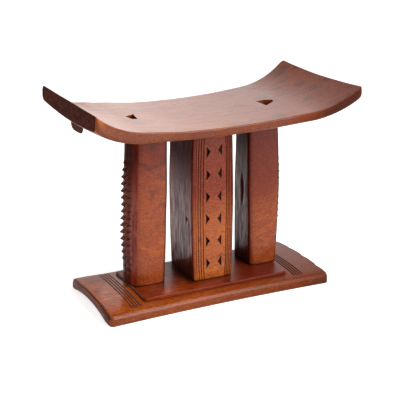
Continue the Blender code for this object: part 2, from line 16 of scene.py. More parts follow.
import bpy
import numpy as np
import numpy.typing as npt
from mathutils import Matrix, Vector


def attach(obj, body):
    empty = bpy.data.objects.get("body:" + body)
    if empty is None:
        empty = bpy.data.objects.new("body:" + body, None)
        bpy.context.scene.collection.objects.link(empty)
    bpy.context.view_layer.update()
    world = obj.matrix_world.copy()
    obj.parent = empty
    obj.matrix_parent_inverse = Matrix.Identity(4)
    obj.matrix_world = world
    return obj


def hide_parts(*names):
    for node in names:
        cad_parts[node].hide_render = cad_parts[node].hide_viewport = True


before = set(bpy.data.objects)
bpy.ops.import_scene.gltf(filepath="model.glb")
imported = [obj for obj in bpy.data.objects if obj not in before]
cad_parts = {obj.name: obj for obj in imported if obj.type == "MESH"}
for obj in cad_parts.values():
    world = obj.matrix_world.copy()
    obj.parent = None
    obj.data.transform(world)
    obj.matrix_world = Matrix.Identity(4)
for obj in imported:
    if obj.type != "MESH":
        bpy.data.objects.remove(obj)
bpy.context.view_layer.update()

Array = npt.NDArray[np.float64]
Whole = npt.NDArray[np.int64]
Colour = tuple[float, float, float]
Place = tuple[float, float, float]
Span = tuple[float, float]
Outline = tuple[tuple[float, float], ...]
Steps = tuple[int, int, int, int]

log = logging.getLogger("stool")

WELD_DISTANCE = 2e-6
PLACE_DIGITS = 7
SHARP_ANGLE = math.radians(38)
ARRIS_STEPS = 5
CLOSING_STEPS = 4
# Per-point marks: above 0 grime and painted shade, below 0 rubbing and painted highlight.
DIRT_SHADE_AND_HIGHLIGHT = "dirt_shade_and_highlight"


class Face(IntEnum):
    """The faces of an upright piece, in the order in which a loop runs round them."""

    FRONT = 0
    RIGHT = 1
    BACK = 2
    LEFT = 3


class Axis(Enum):
    """The axes that a finish can follow."""

    X = "X"
    Y = "Y"
    Z = "Z"


class Socket(Enum):
    """The places of the main shader that may vary over a surface."""

    COLOUR = "Base Color"
    ROUGHNESS = "Roughness"
    COAT = "Coat Weight"
    NORMAL = "Normal"


# Curves


def ease(values: Array) -> Array:
    """Turns shares from 0 to 1 into shares that start and stop gently: 3t^2 - 2t^3."""
    share = np.clip(values, 0, 1)
    return share * share * (3 - 2 * share)


def lost_to_rounding(place: Array, end: float | Array, radius: float) -> Array:
    """Says how far a corner has drawn in: r - sqrt(r^2 - d^2) at a depth d into the rounding.

    Args:
        place: Distances from the middle.
        end: Distance of the end from the middle.
        radius: Radius of the corner.

    Returns:
        The distance lost at each place.
    """
    into = np.clip(place - (end - radius), 0, radius)
    return radius - np.sqrt(radius**2 - into**2)


def v_cuts(place: Array, middles: Iterable[float], width: float, depth: float) -> Array:
    """Adds up V grooves.

    Args:
        place: Distances from the middle.
        middles: Middles of the grooves.
        width: Width of a groove.
        depth: Its depth.

    Returns:
        Depth * (1 - |place - middle| / half the width), where that is above 0.
    """
    total = np.zeros_like(place)
    for middle in middles:
        total += depth * np.clip(1 - np.abs(place - middle) / (width / 2), 0, 1)
    return total


def ordered(*parts: Array) -> Array:
    """Puts places in order, without doubles."""
    return np.unique(np.round(np.concatenate(parts), PLACE_DIGITS))


def shares_with(count: int, marks: Sequence[float] = ()) -> Array:
    """Gives evenly spread shares from 0 to 1 together with some exact ones."""
    return ordered(np.linspace(0, 1, count), np.array(marks, float))


def even_shares(counts: Steps) -> tuple[Array, ...]:
    """Gives evenly spread shares for each face of a loop."""
    return tuple(shares_with(count) for count in counts)


def mirrored(values: Iterable[float]) -> list[float]:
    """Gives each share and its mirror image about the middle."""
    listed = list(values)
    return listed + [1 - value for value in listed]


def closed_ends(x: Array) -> tuple[Array, Array]:
    """Repeats the first and last section, for closings in which they shrink to a line.

    Args:
        x: Places of the sections.

    Returns:
        All places, and from 0 to 1 how far each section has shrunk.
    """
    closing = np.linspace(0, 1, CLOSING_STEPS + 1)[1:]
    shrink = np.concatenate((closing[::-1], np.zeros(len(x)), closing))
    return np.pad(x, CLOSING_STEPS, mode="edge"), shrink


def rounded_polygon(corners: Array, radius: float, steps: int) -> Array:
    """Softens a polygon's corners.

    Args:
        corners: The corners in order.
        radius: How far from a corner its curve starts.
        steps: Number of steps of each curve.

    Returns:
        Points of curves (1-t)^2 a + 2t(1-t) corner + t^2 b, with a and b on the two sides.
    """
    before = np.roll(corners, 1, axis=0) - corners
    after = np.roll(corners, -1, axis=0) - corners
    a = corners + before / np.linalg.norm(before, axis=1, keepdims=True) * radius
    b = corners + after / np.linalg.norm(after, axis=1, keepdims=True) * radius
    t = np.linspace(0, 1, steps + 1)[None, :, None]
    curves = (1 - t) ** 2 * a[:, None] + 2 * t * (1 - t) * corners[:, None] + t**2 * b[:, None]
    return curves.reshape(-1, 2)


@dataclass(frozen=True)
class Bell:
    """A rise round one place: its height, its middle and its breadth."""

    height: float
    middle: float
    breadth: float

    def at(self, x: Array) -> Array:
        """Gives height * exp(-((x - middle) / breadth)^2)."""
        return self.height * np.exp(-(((x - self.middle) / self.breadth) ** 2))


@dataclass(frozen=True)
class Drift:
    """The slight waviness of hand work: its size, and a turn, so that no two faces match."""

    size: float
    turn: float

    def at(self, a: Array, b: Array) -> Array:
        """Adds up crossed sine waves and divides by their number.

        Args:
            a: Places along the piece.
            b: Places across it.

        Returns:
            The departure at each place, from -size to size.
        """
        waves = ((31, 17, 1.0), (53, -29, 2.3), (-19, 11, 4.1))
        total = sum(np.sin(p * a + q * b + turns * self.turn) for p, q, turns in waves)
        return self.size * total / len(waves)


@dataclass(frozen=True)
class Loop:
    """Points round a rounded rectangle, counter-clockwise from its front left corner.

    A point lies at x = wide * half_width + in_x and y = deep * half_depth + in_y. Its face is -1
    on the arrises.
    """

    wide: Array
    in_x: Array
    deep: Array
    in_y: Array
    face: Whole

    def at(self, half_width: Array | float, half_depth: Array | float) -> tuple[Array, Array]:
        """Gives the points for these half sizes."""
        return self.wide * half_width + self.in_x, self.deep * half_depth + self.in_y


def rounded_loop(radii: Sequence[float], shares: Sequence[Array]) -> Loop:
    """Lays out a loop whose corners may differ.

    Args:
        radii: Radius of the corner at the end of the front, right, back and left face.
        shares: Places on each face, from 0 to 1 along its straight stretch.

    Returns:
        The loop, with arcs x = r sin(turn), y = r (1 - cos(turn)) between its faces.
    """
    turn = np.linspace(0, np.pi / 2, ARRIS_STEPS + 2)[1:-1]
    columns: list[list[Array]] = [[], [], [], [], []]
    for face, share in enumerate(shares):
        start, end = radii[face - 1], radii[face]
        unit = np.concatenate((2 * share - 1, np.ones_like(turn)))
        along = np.concatenate((start * (1 - share) - end * share, -end * (1 - np.sin(turn))))
        inward = np.concatenate((np.zeros_like(share), end * (1 - np.cos(turn))))
        ones = np.ones_like(unit)
        wide, in_x, deep, in_y = (
            (unit, along, -ones, inward),
            (ones, -inward, unit, along),
            (-unit, -along, ones, -inward),
            (-ones, inward, -unit, -along),
        )[face]
        on_face = np.concatenate((np.full(share.shape, face), np.full(turn.shape, -1)))
        for column, values in zip(columns, (wide, in_x, deep, in_y, on_face)):
            column.append(values)
    wide, in_x, deep, in_y, on_face = (np.concatenate(column) for column in columns)
    return Loop(wide, in_x, deep, in_y, on_face.astype(np.int64))


# Meshes


def grid_faces(rows: int, columns: int) -> Whole:
    """Lists the quads of a grid that is closed along its rows and open across them.

    Args:
        rows: How many rows there are.
        columns: How many points a row has.

    Returns:
        The four corners of each quad.
    """
    row, column = np.meshgrid(np.arange(rows - 1), np.arange(columns), indexing="ij")
    here, above = row * columns, (row + 1) * columns
    after = (column + 1) % columns
    corners = (here + column, here + after, above + after, above + column)
    return np.stack(corners, axis=-1).reshape(-1, 4)


def signed_volume(points: Array, quads: Whole, triangles: Whole) -> float:
    """Adds up the volumes of the tetrahedra between the origin and each face.

    Args:
        points: The points.
        quads: Corners of the faces with four.
        triangles: Corners of the faces with three.

    Returns:
        The sum of a . (b x c) / 6, above 0 where the faces point outwards.
    """
    corners = np.concatenate((quads[:, (0, 1, 2)], quads[:, (0, 2, 3)], triangles))
    a, b, c = (points[corners[:, i]] for i in range(3))
    return float(np.einsum("ij,ij->i", a, np.cross(b, c)).sum() / 6)


def turned_over(faces: Whole) -> Whole:
    """Runs round each face the other way from the same first corner."""
    return np.roll(faces[:, ::-1], 1, axis=1)


def closed_shell(grid: Array) -> tuple[Array, Whole, list[list[int]]]:
    """Joins rings of points whose first and last ring shrink to a point or a line.

    Args:
        grid: Points as rings, points of a ring, and x, y, z.

    Returns:
        The points with those that coincide made one, their places in the grid, and the faces,
        turned outwards.
    """
    rows, columns, _ = grid.shape
    points = grid.reshape(-1, 3)
    keys = np.round(points / WELD_DISTANCE).astype(np.int64)
    _, kept, inverse = np.unique(keys, axis=0, return_index=True, return_inverse=True)
    faces = inverse.reshape(-1)[grid_faces(rows, columns)]
    same = faces == np.roll(faces, -1, axis=1)
    single = same.sum(axis=1) == 1
    quads = faces[same.sum(axis=1) == 0]
    triangles = faces[single][~same[single]].reshape(-1, 3)
    if signed_volume(points[kept], quads, triangles) < 0:
        quads, triangles = turned_over(quads), turned_over(triangles)
    return points[kept], kept, quads.tolist() + triangles.tolist()


def shut(rings: Array) -> Array:
    """Closes a run of rings with its first and last one, shrunk to their middles."""
    middles = np.broadcast_to(rings.mean(axis=1, keepdims=True), rings.shape)
    return np.concatenate((middles[:1], rings, middles[-1:]))


def read_points(mesh: bpy.types.Mesh) -> Array:
    """Reads a mesh's points.

    Args:
        mesh: The mesh.

    Returns:
        The points as rows of x, y, z.
    """
    points = np.zeros(3 * len(mesh.vertices), np.float32)
    mesh.vertices.foreach_get("co", points)
    return points.reshape(-1, 3).astype(np.float64)


def store_dirt_shade_and_highlight(mesh: bpy.types.Mesh, values: Array) -> None:
    """Stores each point's grime and painted shade, or rubbing and painted highlight, for the finish
    to read.
    """
    layer = mesh.attributes.get(DIRT_SHADE_AND_HIGHLIGHT) or mesh.attributes.new(DIRT_SHADE_AND_HIGHLIGHT, "FLOAT", "POINT")
    layer.data.foreach_set("value", np.ascontiguousarray(values, np.float32))


def add_object(name: str, mesh: bpy.types.Mesh) -> bpy.types.Object:
    """Puts a mesh into the scene as an object at the origin.

    Args:
        name: Name of the object.
        mesh: Its mesh.

    Returns:
        The object.
    """
    piece = bpy.data.objects.new(name, mesh)
    bpy.context.scene.collection.objects.link(piece)
    return piece


def carved_piece(name: str, grid: Array, dirt_shade_and_highlight: Array | float = 0.0) -> bpy.types.Object:
    """Makes a piece from rings of points whose first and last ring shrink to a point or a line.

    Args:
        name: Name of the solid that it stands for.
        grid: Points as rings, points of a ring, and x, y, z.
        dirt_shade_and_highlight: Up to 1 where grime and painted shade darken, down to -1 where
            rubbing and painted highlight brighten.

    Returns:
        The piece.
    """
    points, kept, faces = closed_shell(grid)
    mesh = bpy.data.meshes.new(f"carved_{name}")
    mesh.from_pydata(points.tolist(), [], faces)
    mesh.validate()
    store_dirt_shade_and_highlight(mesh, np.broadcast_to(dirt_shade_and_highlight, grid.shape[:2]).reshape(-1)[kept])
    return add_object(mesh.name, mesh)


def prism(name: str, outlines: Sequence[Array]) -> bpy.types.Object:
    """Makes a cutter out of several closed shapes.

    Args:
        name: Name of the cutter.
        outlines: For each shape, its two end rings: 2, points of a ring, and x, y, z.

    Returns:
        The cutter object.
    """
    points: list[list[float]] = []
    faces: list[list[int]] = []
    for rings in outlines:
        corners, _, sides = closed_shell(shut(rings))
        faces += [[len(points) + corner for corner in side] for side in sides]
        points += corners.tolist()
    mesh = bpy.data.meshes.new(name)
    mesh.from_pydata(points, [], faces)
    return add_object(name, mesh)


def carve(piece: bpy.types.Object, cutter: bpy.types.Object, dirt_and_shade: float) -> None:
    """Cuts one object out of another for good, and removes the cutter.

    Args:
        piece: The piece to cut.
        cutter: What to cut away.
        dirt_and_shade: How far grime and painted shade darken the bottom of the cut, for the
            finish.
    """
    ends = read_points(cutter.data)
    change = piece.modifiers.new("carve", "BOOLEAN")
    change.operation = "DIFFERENCE"
    change.solver = "EXACT"
    change.object = cutter
    bpy.context.view_layer.update()
    changed = piece.evaluated_get(bpy.context.evaluated_depsgraph_get())
    carved = bpy.data.meshes.new_from_object(changed)
    piece.modifiers.remove(change)
    points = read_points(carved)
    dirt_shade_and_highlight = np.zeros(len(points), np.float32)
    carved.attributes[DIRT_SHADE_AND_HIGHLIGHT].data.foreach_get("value", dirt_shade_and_highlight)
    low, high = ends.min(axis=0) - WELD_DISTANCE, ends.max(axis=0) + WELD_DISTANCE
    near = np.flatnonzero(((points >= low) & (points <= high)).all(axis=1))
    gaps = np.abs(points[near, None, :] - ends[None, :, :]).max(axis=2).min(axis=1)
    dirt_shade_and_highlight[near[gaps < WELD_DISTANCE]] = dirt_and_shade
    store_dirt_shade_and_highlight(carved, dirt_shade_and_highlight)
    piece.data = carved
    bpy.data.objects.remove(cutter)


def dress(piece: bpy.types.Object, node: str, finish: WoodFinish) -> bpy.types.Object:
    """Finishes a piece that stands for a solid.

    Args:
        piece: The drawn piece.
        node: Name of the solid that it replaces.
        finish: Its finish.

    Returns:
        The same piece, smooth but for its sharp edges, riding on the stool's one body.
    """
    piece.data.materials.clear()
    piece.data.materials.append(finish.material())
    piece.data.shade_smooth()
    piece.data.set_sharp_from_angle(angle=SHARP_ANGLE)
    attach(piece, "root")
    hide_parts(node)
    return piece


# Shader tools


class Value:
    """A number that varies over a surface; Python's operators on it add Math nodes."""

    def __init__(self, nodes: Nodes, socket: bpy.types.NodeSocket) -> None:
        """Wraps a socket of a node tree."""
        self.nodes = nodes
        self.socket = socket

    def _math(self, operation: str, *numbers: Value | float) -> Value:
        """Adds one Math node for an operation on these numbers."""
        values = dict(enumerate(numbers))
        return self.nodes.value("ShaderNodeMath", {"operation": operation}, values)

    def __add__(self, other: Value | float) -> Value:
        """Adds."""
        return self._math("ADD", self, other)

    __radd__ = __add__

    def __sub__(self, other: Value | float) -> Value:
        """Takes away."""
        return self._math("SUBTRACT", self, other)

    def __rsub__(self, other: Value | float) -> Value:
        """Is taken away from a number."""
        return self._math("SUBTRACT", other, self)

    def __mul__(self, other: Value | float) -> Value:
        """Multiplies."""
        return self._math("MULTIPLY", self, other)

    __rmul__ = __mul__

    def __pow__(self, power: float) -> Value:
        """Raises to a power."""
        return self._math("POWER", self, power)

    def __abs__(self) -> Value:
        """Drops the sign."""
        return self._math("ABSOLUTE", self)

    def step(self, low: float, high: float) -> Value:
        """Rises smoothly.

        Args:
            low: Where it leaves 0.
            high: Where it reaches 1.

        Returns:
            The number from 0 to 1.
        """
        values = {"Value": self, "From Min": low, "From Max": high}
        smooth = {"interpolation_type": "SMOOTHSTEP"}
        return self.nodes.value("ShaderNodeMapRange", smooth, values, "Result")


class Nodes:
    """A node tree under construction."""

    def __init__(self, tree: bpy.types.NodeTree) -> None:
        """Wraps the tree."""
        self.tree = tree

    def node(
        self,
        kind: str,
        settings: dict[str, Any] | None = None,
        values: dict[str | int, Any] | None = None,
    ) -> bpy.types.Node:
        """Adds any node.

        Args:
            kind: The node's type.
            settings: Its properties, which are set first.
            values: What goes into its sockets: a Value, a socket, a number or a colour.

        Returns:
            The node.
        """
        node = self.tree.nodes.new(kind)
        for name, setting in (settings or {}).items():
            setattr(node, name, setting)
        for name, value in (values or {}).items():
            self.feed(node.inputs[name], value)
        return node

    def value(
        self,
        kind: str,
        settings: dict[str, Any],
        values: dict[str | int, Any],
        output: str | int = 0,
    ) -> Value:
        """Adds a node for one number.

        Args:
            kind: The node's type.
            settings: Its properties.
            values: What goes into its sockets.
            output: Which of its outputs gives the number.

        Returns:
            The number.
        """
        return Value(self, self.node(kind, settings, values).outputs[output])

    def feed(self, socket: bpy.types.NodeSocket, value: Any) -> None:
        """Links a Value or a socket, or sets a number or a colour.

        Args:
            socket: The socket to feed.
            value: What goes into it.
        """
        if isinstance(value, Value):
            self.tree.links.new(value.socket, socket)
        elif isinstance(value, bpy.types.NodeSocket):
            self.tree.links.new(value, socket)
        elif isinstance(value, tuple) and socket.type == "RGBA":
            socket.default_value = (*value, 1)
        else:
            socket.default_value = value

    def along(self, vector: bpy.types.NodeSocket, axis: Axis) -> Value:
        """Takes a vector's part along an axis."""
        return self.value("ShaderNodeSeparateXYZ", {}, {0: vector}, axis.value)

    def mix(self, share: Value | float, first: Any, second: Any) -> bpy.types.NodeSocket:
        """Mixes two colours.

        Args:
            share: How much of the second one is in the mix.
            first: A colour or a socket.
            second: A colour or a socket.

        Returns:
            The mixed colour.
        """
        node = self.node("ShaderNodeMix", {"data_type": "RGBA"}, {"Factor": share})
        inputs = [socket for socket in node.inputs if socket.type == "RGBA"]
        self.feed(inputs[0], first)
        self.feed(inputs[1], second)
        return next(socket for socket in node.outputs if socket.type == "RGBA")

    def seen(self, direct: float, mirrored: Value | float) -> Value:
        """Gives a strength for what is seen directly or mirrored, and 0 for light.

        Args:
            direct: Strength for rays from the camera.
            mirrored: Strength in reflections and through glass.

        Returns:
            The strength.
        """
        path = self.node("ShaderNodeLightPath").outputs
        camera = Value(self, path["Is Camera Ray"])
        passed_on = Value(self, path["Is Glossy Ray"]) + Value(self, path["Is Transmission Ray"])
        return camera * direct + (1 - camera) * passed_on.step(0.0, 1.0) * mirrored


@dataclass(frozen=True)
class Pattern:
    """A noise: its grains to a metre, its finer layers, their strength, its bend and its place."""

    per_metre: Place
    detail: float
    roughness: float
    bend: float
    place: float = 0.0


class Shader(Nodes):
    """A material under construction, with one main shader."""

    def __init__(self, name: str) -> None:
        """Starts a material that holds only its main shader and its output.

        Args:
            name: Name of the material.
        """
        self.material = bpy.data.materials.new(name)
        self.material.use_nodes = True
        super().__init__(self.material.node_tree)
        self.main = self.tree.nodes["Principled BSDF"]
        self.place = self.node("ShaderNodeTexCoord").outputs["Object"]

    def drive(self, socket: Socket, value: Any) -> None:
        """Feeds one of the main shader's varying sockets."""
        self.feed(self.main.inputs[socket.value], value)

    def fix(self, name: str, number: float) -> None:
        """Sets one of the main shader's sockets to the same number all over."""
        self.main.inputs[name].default_value = number

    def noise(self, pattern: Pattern, shift: float) -> Value:
        """Adds a noise pattern.

        Args:
            pattern: The pattern.
            shift: Moves it, so that no two materials match.

        Returns:
            The noise, from about 0.25 to 0.75.
        """
        away = pattern.place + shift
        moved = {
            "Vector": self.place,
            "Scale": pattern.per_metre,
            "Location": (away, 1.7 * away, 2.3 * away),
        }
        values = {
            "Vector": self.node("ShaderNodeMapping", {}, moved).outputs[0],
            "Scale": 1.0,
            "Detail": pattern.detail,
            "Roughness": pattern.roughness,
            "Distortion": pattern.bend,
        }
        return self.value("ShaderNodeTexNoise", {}, values)


# Finishes

MIDDLE = 0.5
PORES = Pattern((190, 1500, 1500), 2, 0.5, 0, 3)
BROAD = Pattern((9, 13, 13), 2, 0.5, 0.4, 5)
BLOTCHES = Pattern((30, 60, 60), 5, 0.65, 0.5, 7)
RAGGED = Pattern((60, 60, 60), 3, 0.6, 0, 11)
TOOL_MARKS = Pattern((70, 210, 38), 4, 0.6, 0.8, 17)
WAVES = Pattern((16, 40, 40), 2, 0.5, 0, 19)
SPECKLE = Pattern((230, 420, 420), 3, 0.6, 0.2, 23)
SMUDGES = Pattern((22, 34, 30), 4, 0.6, 0.6, 29)


@dataclass(frozen=True)
class EndGrain:
    """End grain, on faces that look along X: mottled, rough, and ragged at its edge."""

    light: Colour = (0.085, 0.013, 0.004)
    dark: Colour = (0.035, 0.006, 0.003)
    light_span: Span = (0.42, 0.62)
    mottle: Place = (120, 180, 26)
    roughness: float = 0.42
    coat: float = 0.5
    coat_span: Span = (0.36, 0.64)
    coat_least: float = 0.35
    coat_gain: float = 1.3
    bump: float = 5.0
    facing: float = 0.76
    edge: float = 0.2
    edge_drift: float = 0.12


@dataclass(frozen=True)
class Shade:
    """A darker, duller zone that comes in along an axis, its edge made uneven by the stain."""

    axis: Axis
    span: Span
    colour: Colour
    share: float = 0.88
    dull: float = 0.4
    broad_drift: float = 0.16
    fine_drift: float = 0.064


@dataclass(frozen=True)
class PaintedSideShade:
    """Painted shade on the faces that look along Y: a colour of their own, darker and duller where
    they are shaded.
    """

    colour: Colour
    share: float
    facing: Span = (0.45, 0.85)
    darker: float = 0.0
    darker_span: Span = (0.93, 1.0)
    dull: float = 0.0
    dull_span: Span = (0.7, 0.95)


@dataclass(frozen=True)
class Heart:
    """The heart of the grain, drawn on end grain, and one growth ring round it."""

    x: float
    z: float
    spot: Span = (0.007, 0.021)
    ring_radius: float = 0.050
    ring_breadth: float = 0.010
    bend: float = 0.03
    strength: float = 0.5


@dataclass(frozen=True)
class PaintedEndShade:
    """Painted shade on end grain: darker and duller high up under the seat and at the foot, with a
    mottled edge.
    """

    span: Span
    foot: Span = (0.04, 0.10)
    edge_drift: float = 0.08
    coat_lost: float = 0.85
    roughening: float = 0.4
    darkening: float = 0.65


@dataclass(frozen=True)
class WoodFinish:
    """Stained and waxed wood with its grain along X, what years of use have left on it, and painted
    shade and highlight.
    """

    name: str
    light: Colour
    middle: Colour
    dark: Colour = (0.120, 0.013, 0.003)
    pore: Colour = (0.060, 0.007, 0.002)
    deep: Colour = (0.016, 0.004, 0.002)
    broad_share: float = 0.45
    light_from: float = 0.50
    light_blend: float = 0.12
    dark_to: float = 0.46
    dark_blend: float = 0.10
    dark_share: float = 0.8
    fleck: Place = (0.0065, 0.0011, 0.0011)
    fleck_strength: float = 0.5
    fleck_light: float = 0.7
    fleck_reach: float = 0.09
    speckle: float = 0.25
    speckle_light: float = 0.6
    speckle_reach: float = 0.08
    pore_span: Span = (0.56, 0.68)
    pore_share: float = 0.5
    roughness: float = 0.42
    roughness_drift: float = 0.20
    specular: float = 0.2
    coat: float = 0.45
    coat_roughness: float = 0.22
    bump: float = 0.00012
    fleck_bump: float = 0.6
    pore_bump: float = 0.5
    pore_bump_span: Span = (0.60, 0.72)
    wave_bump: float = 1.5
    smudge: float = 0.0
    smudge_span: Span = (0.50, 0.66)
    # Rubbing and painted highlight brighten; grime and painted shade darken and dull.
    wear_and_highlight: float = 0.6
    dirt_and_shade: float = 0.92
    dirt_and_shade_span: Span = (0.05, 0.85)
    dirt_and_shade_dull: float = 0.85
    ends: EndGrain = EndGrain()
    shade: Shade | None = None
    # Painted shade on the long sides.
    sides: PaintedSideShade | None = None
    heart: Heart | None = None
    # Painted shade on the end grain high up and at the foot.
    painted_end_shade: PaintedEndShade | None = None
    shift: float = 0.0

    def material(self) -> bpy.types.Material:
        """Builds the material."""
        return Wood(self).finished()


class Wood(Shader):
    """Wood that is being stained and waxed, layer upon layer."""

    def __init__(self, finish: WoodFinish) -> None:
        """Lays out the patterns that several layers share.

        Args:
            finish: The finish that the wood gets.
        """
        super().__init__(finish.name)
        self.finish = finish
        grains = tuple(1 / size for size in finish.fleck)
        self.flecks = self.pattern(Pattern(grains, 4, 0.6, 0.3))
        self.mottle = self.pattern(Pattern(finish.ends.mottle, 4, 0.65, 0.6, 13))
        self.pores = self.pattern(PORES)
        self.broad = self.pattern(BROAD)
        self.blotches = self.pattern(BLOTCHES)
        self.normal = self.node("ShaderNodeNewGeometry").outputs["Normal"]
        self.end = self.end_mask()
        self.shaded: Value | float = 0.0
        self.rough: Value | float = finish.roughness
        self.coat: Value | float = finish.coat
        self.colour: Any = finish.middle

    def finished(self) -> bpy.types.Material:
        """Lays every layer in its turn.

        Returns:
            Wood whose base colour is stain blotches under flecks and pores, darker on end grain,
            with painted shade and highlight.
        """
        finish = self.finish
        self.lay_stain()
        if finish.shade:
            self.lay_shade(finish.shade)
        if finish.heart:
            self.tint(self.heart_mask(finish.heart) * finish.heart.strength, finish.deep)
        if finish.smudge:
            smudges = self.pattern(SMUDGES).step(*finish.smudge_span)
            self.tint(smudges * self.shaded * finish.smudge, finish.deep)
        # Painted shade on the long sides.
        if finish.sides:
            self.tint(self.side_mask(finish.sides) * finish.sides.share, finish.sides.colour)
        light = finish.speckle_light * finish.speckle
        self.fleck(self.pattern(SPECKLE), finish.speckle_reach, finish.speckle, light)
        self.tint(self.pores.step(*finish.pore_span) * finish.pore_share, finish.pore)
        # Deeper painted shade on the long sides where they are shaded.
        if finish.sides and finish.sides.darker:
            self.paint_side_shade(finish.sides)
        mottled = self.mottle.step(*finish.ends.light_span)
        self.tint(self.end, self.mix(mottled, finish.ends.dark, finish.ends.light))
        # Painted shade on the end grain high up and at the foot.
        if finish.painted_end_shade:
            self.paint_end_shade(finish.painted_end_shade)
        # Grime and painted shade, rubbing and painted highlight.
        self.lay_dirt_shade_and_highlight()
        self.drive_surface()
        return self.material

    def pattern(self, pattern: Pattern) -> Value:
        """Adds a pattern at this finish's own place."""
        return self.noise(pattern, self.finish.shift)

    def tint(self, share: Value | float, colour: Any) -> None:
        """Mixes a colour in by a share."""
        self.colour = self.mix(share, self.colour, colour)

    def fleck(self, pattern: Value, reach: float, dark: float, light: float) -> None:
        """Darkens the wood where a pattern is low and lightens it where it is high.

        Args:
            pattern: The pattern.
            reach: How far from its middle it works in full.
            dark: Share of the dark colour there.
            light: Share of the light colour there.
        """
        self.tint((MIDDLE - pattern).step(0.0, reach) * dark, self.finish.dark)
        self.tint((pattern - MIDDLE).step(0.0, reach) * light, self.finish.light)

    def lay_stain(self) -> None:
        """Lays the wax, the stain's blotches and the cross flecks."""
        finish, ends = self.finish, self.finish.ends
        waxed = ends.coat_least + ends.coat_gain * self.mottle.step(*ends.coat_span)
        self.coat = finish.coat + self.end * (ends.coat * waxed - finish.coat)
        stain = finish.broad_share * self.broad + (1 - finish.broad_share) * self.blotches
        pale = stain.step(finish.light_from, finish.light_from + finish.light_blend)
        self.tint(pale, finish.light)
        darkened = (finish.dark_to - stain).step(0.0, finish.dark_blend)
        self.tint(darkened * finish.dark_share, finish.dark)
        light = finish.fleck_light * finish.fleck_strength
        self.fleck(self.flecks, finish.fleck_reach, finish.fleck_strength, light)

    def lay_shade(self, shade: Shade) -> None:
        """Lays the darker and duller zone.

        Args:
            shade: Where it is, and what it looks like.
        """
        broad = shade.broad_drift * (self.broad - MIDDLE)
        uneven = broad + shade.fine_drift * (self.blotches - MIDDLE)
        self.shaded = (self.along(self.place, shade.axis) + uneven).step(*shade.span)
        self.tint(self.shaded * shade.share, shade.colour)
        self.coat = self.coat * (1 - self.shaded * shade.dull)

    def paint_side_shade(self, sides: PaintedSideShade) -> None:
        """Deepens the painted shade on the long sides, and dulls them, where they are shaded.

        Args:
            sides: How much, and from which shade on.
        """
        side = self.side_mask(sides)
        self.tint(side * self.shaded.step(*sides.darker_span) * sides.darker, self.finish.deep)
        self.coat = self.coat * (1 - side * self.shaded.step(*sides.dull_span) * sides.dull)

    def paint_end_shade(self, painted_end_shade: PaintedEndShade) -> None:
        """Paints shade on the end grain: dulls, roughens and darkens it high up and at the foot.

        Args:
            painted_end_shade: Where the painted shade lies, and how strong it is.
        """
        drift = painted_end_shade.edge_drift * (self.mottle - MIDDLE)
        height = self.along(self.place, Axis.Z) + drift
        foot = 1 - height.step(*painted_end_shade.foot)
        dull = self.end * (height.step(*painted_end_shade.span) + foot)
        self.coat = self.coat * (1 - dull * painted_end_shade.coat_lost)
        self.rough = self.rough + dull * painted_end_shade.roughening
        self.tint(dull * painted_end_shade.darkening, self.finish.deep)

    def lay_dirt_shade_and_highlight(self) -> None:
        """Brightens rubbed places and painted highlights, and darkens and dulls hollows, joints and
        shaded arrises with grime and painted shade.
        """
        dirt_shade_and_highlight = self.value("ShaderNodeAttribute", {"attribute_name": DIRT_SHADE_AND_HIGHLIGHT}, {}, "Fac")
        # Rubbing and painted highlight brighten.
        self.tint((0 - dirt_shade_and_highlight).step(0.0, 1.0) * self.finish.wear_and_highlight, self.finish.light)
        # Grime and painted shade darken and dull.
        grime_and_shade = dirt_shade_and_highlight.step(*self.finish.dirt_and_shade_span)
        self.tint(grime_and_shade * self.finish.dirt_and_shade, self.finish.deep)
        self.coat = self.coat * (1 - grime_and_shade * self.finish.dirt_and_shade_dull)

    def drive_surface(self) -> None:
        """Feeds the main shader."""
        finish = self.finish
        drift = (self.blotches - MIDDLE) * finish.roughness_drift
        on_end = self.end * (finish.ends.roughness - finish.roughness)
        self.drive(Socket.COLOUR, self.colour)
        self.drive(Socket.ROUGHNESS, self.rough + drift + on_end)
        self.drive(Socket.COAT, self.coat)
        self.drive(Socket.NORMAL, self.bumps())
        self.fix("Coat Roughness", finish.coat_roughness)
        self.fix("Specular IOR Level", finish.specular)

    def bumps(self) -> bpy.types.NodeSocket:
        """Raises the grain a little and roughens the end grain with tool marks.

        Returns:
            The bumpy normal.
        """
        finish = self.finish
        pits = self.pores.step(*finish.pore_bump_span) * finish.pore_bump
        raised = self.flecks * finish.fleck_bump - pits + self.pattern(WAVES) * finish.wave_bump
        height = raised + self.end * self.pattern(TOOL_MARKS) * finish.ends.bump
        values = {"Strength": 1.0, "Distance": finish.bump, "Height": height}
        return self.node("ShaderNodeBump", {}, values).outputs[0]

    def heart_mask(self, heart: Heart) -> Value:
        """Draws the heart of the grain and its ring.

        Args:
            heart: Its place and sizes.

        Returns:
            1 where r = sqrt((x - a)^2 + (z - b)^2) is small or the ring's, bent by the blotches.
        """
        across = self.along(self.place, Axis.X) - heart.x
        up = self.along(self.place, Axis.Z) - heart.z
        bent = heart.bend * (self.blotches - MIDDLE)
        radius = (across * across + up * up) ** 0.5 + bent
        ring = 1 - abs(radius - heart.ring_radius).step(0.0, heart.ring_breadth)
        return ring + (1 - radius.step(*heart.spot))

    def side_mask(self, sides: PaintedSideShade) -> Value:
        """Finds the long sides: faces that look along Y."""
        return abs(self.along(self.normal, Axis.Y)).step(*sides.facing)

    def end_mask(self) -> Value:
        """Finds end grain.

        Returns:
            1 on faces that look along X, with a slightly ragged edge.
        """
        ends = self.finish.ends
        drift = ends.edge_drift * (self.pattern(RAGGED) - MIDDLE)
        facing = abs(self.along(self.normal, Axis.X)) + drift
        return facing.step(ends.facing, ends.facing + ends.edge)


FINE_MOTTLE = (100, 70, 90)

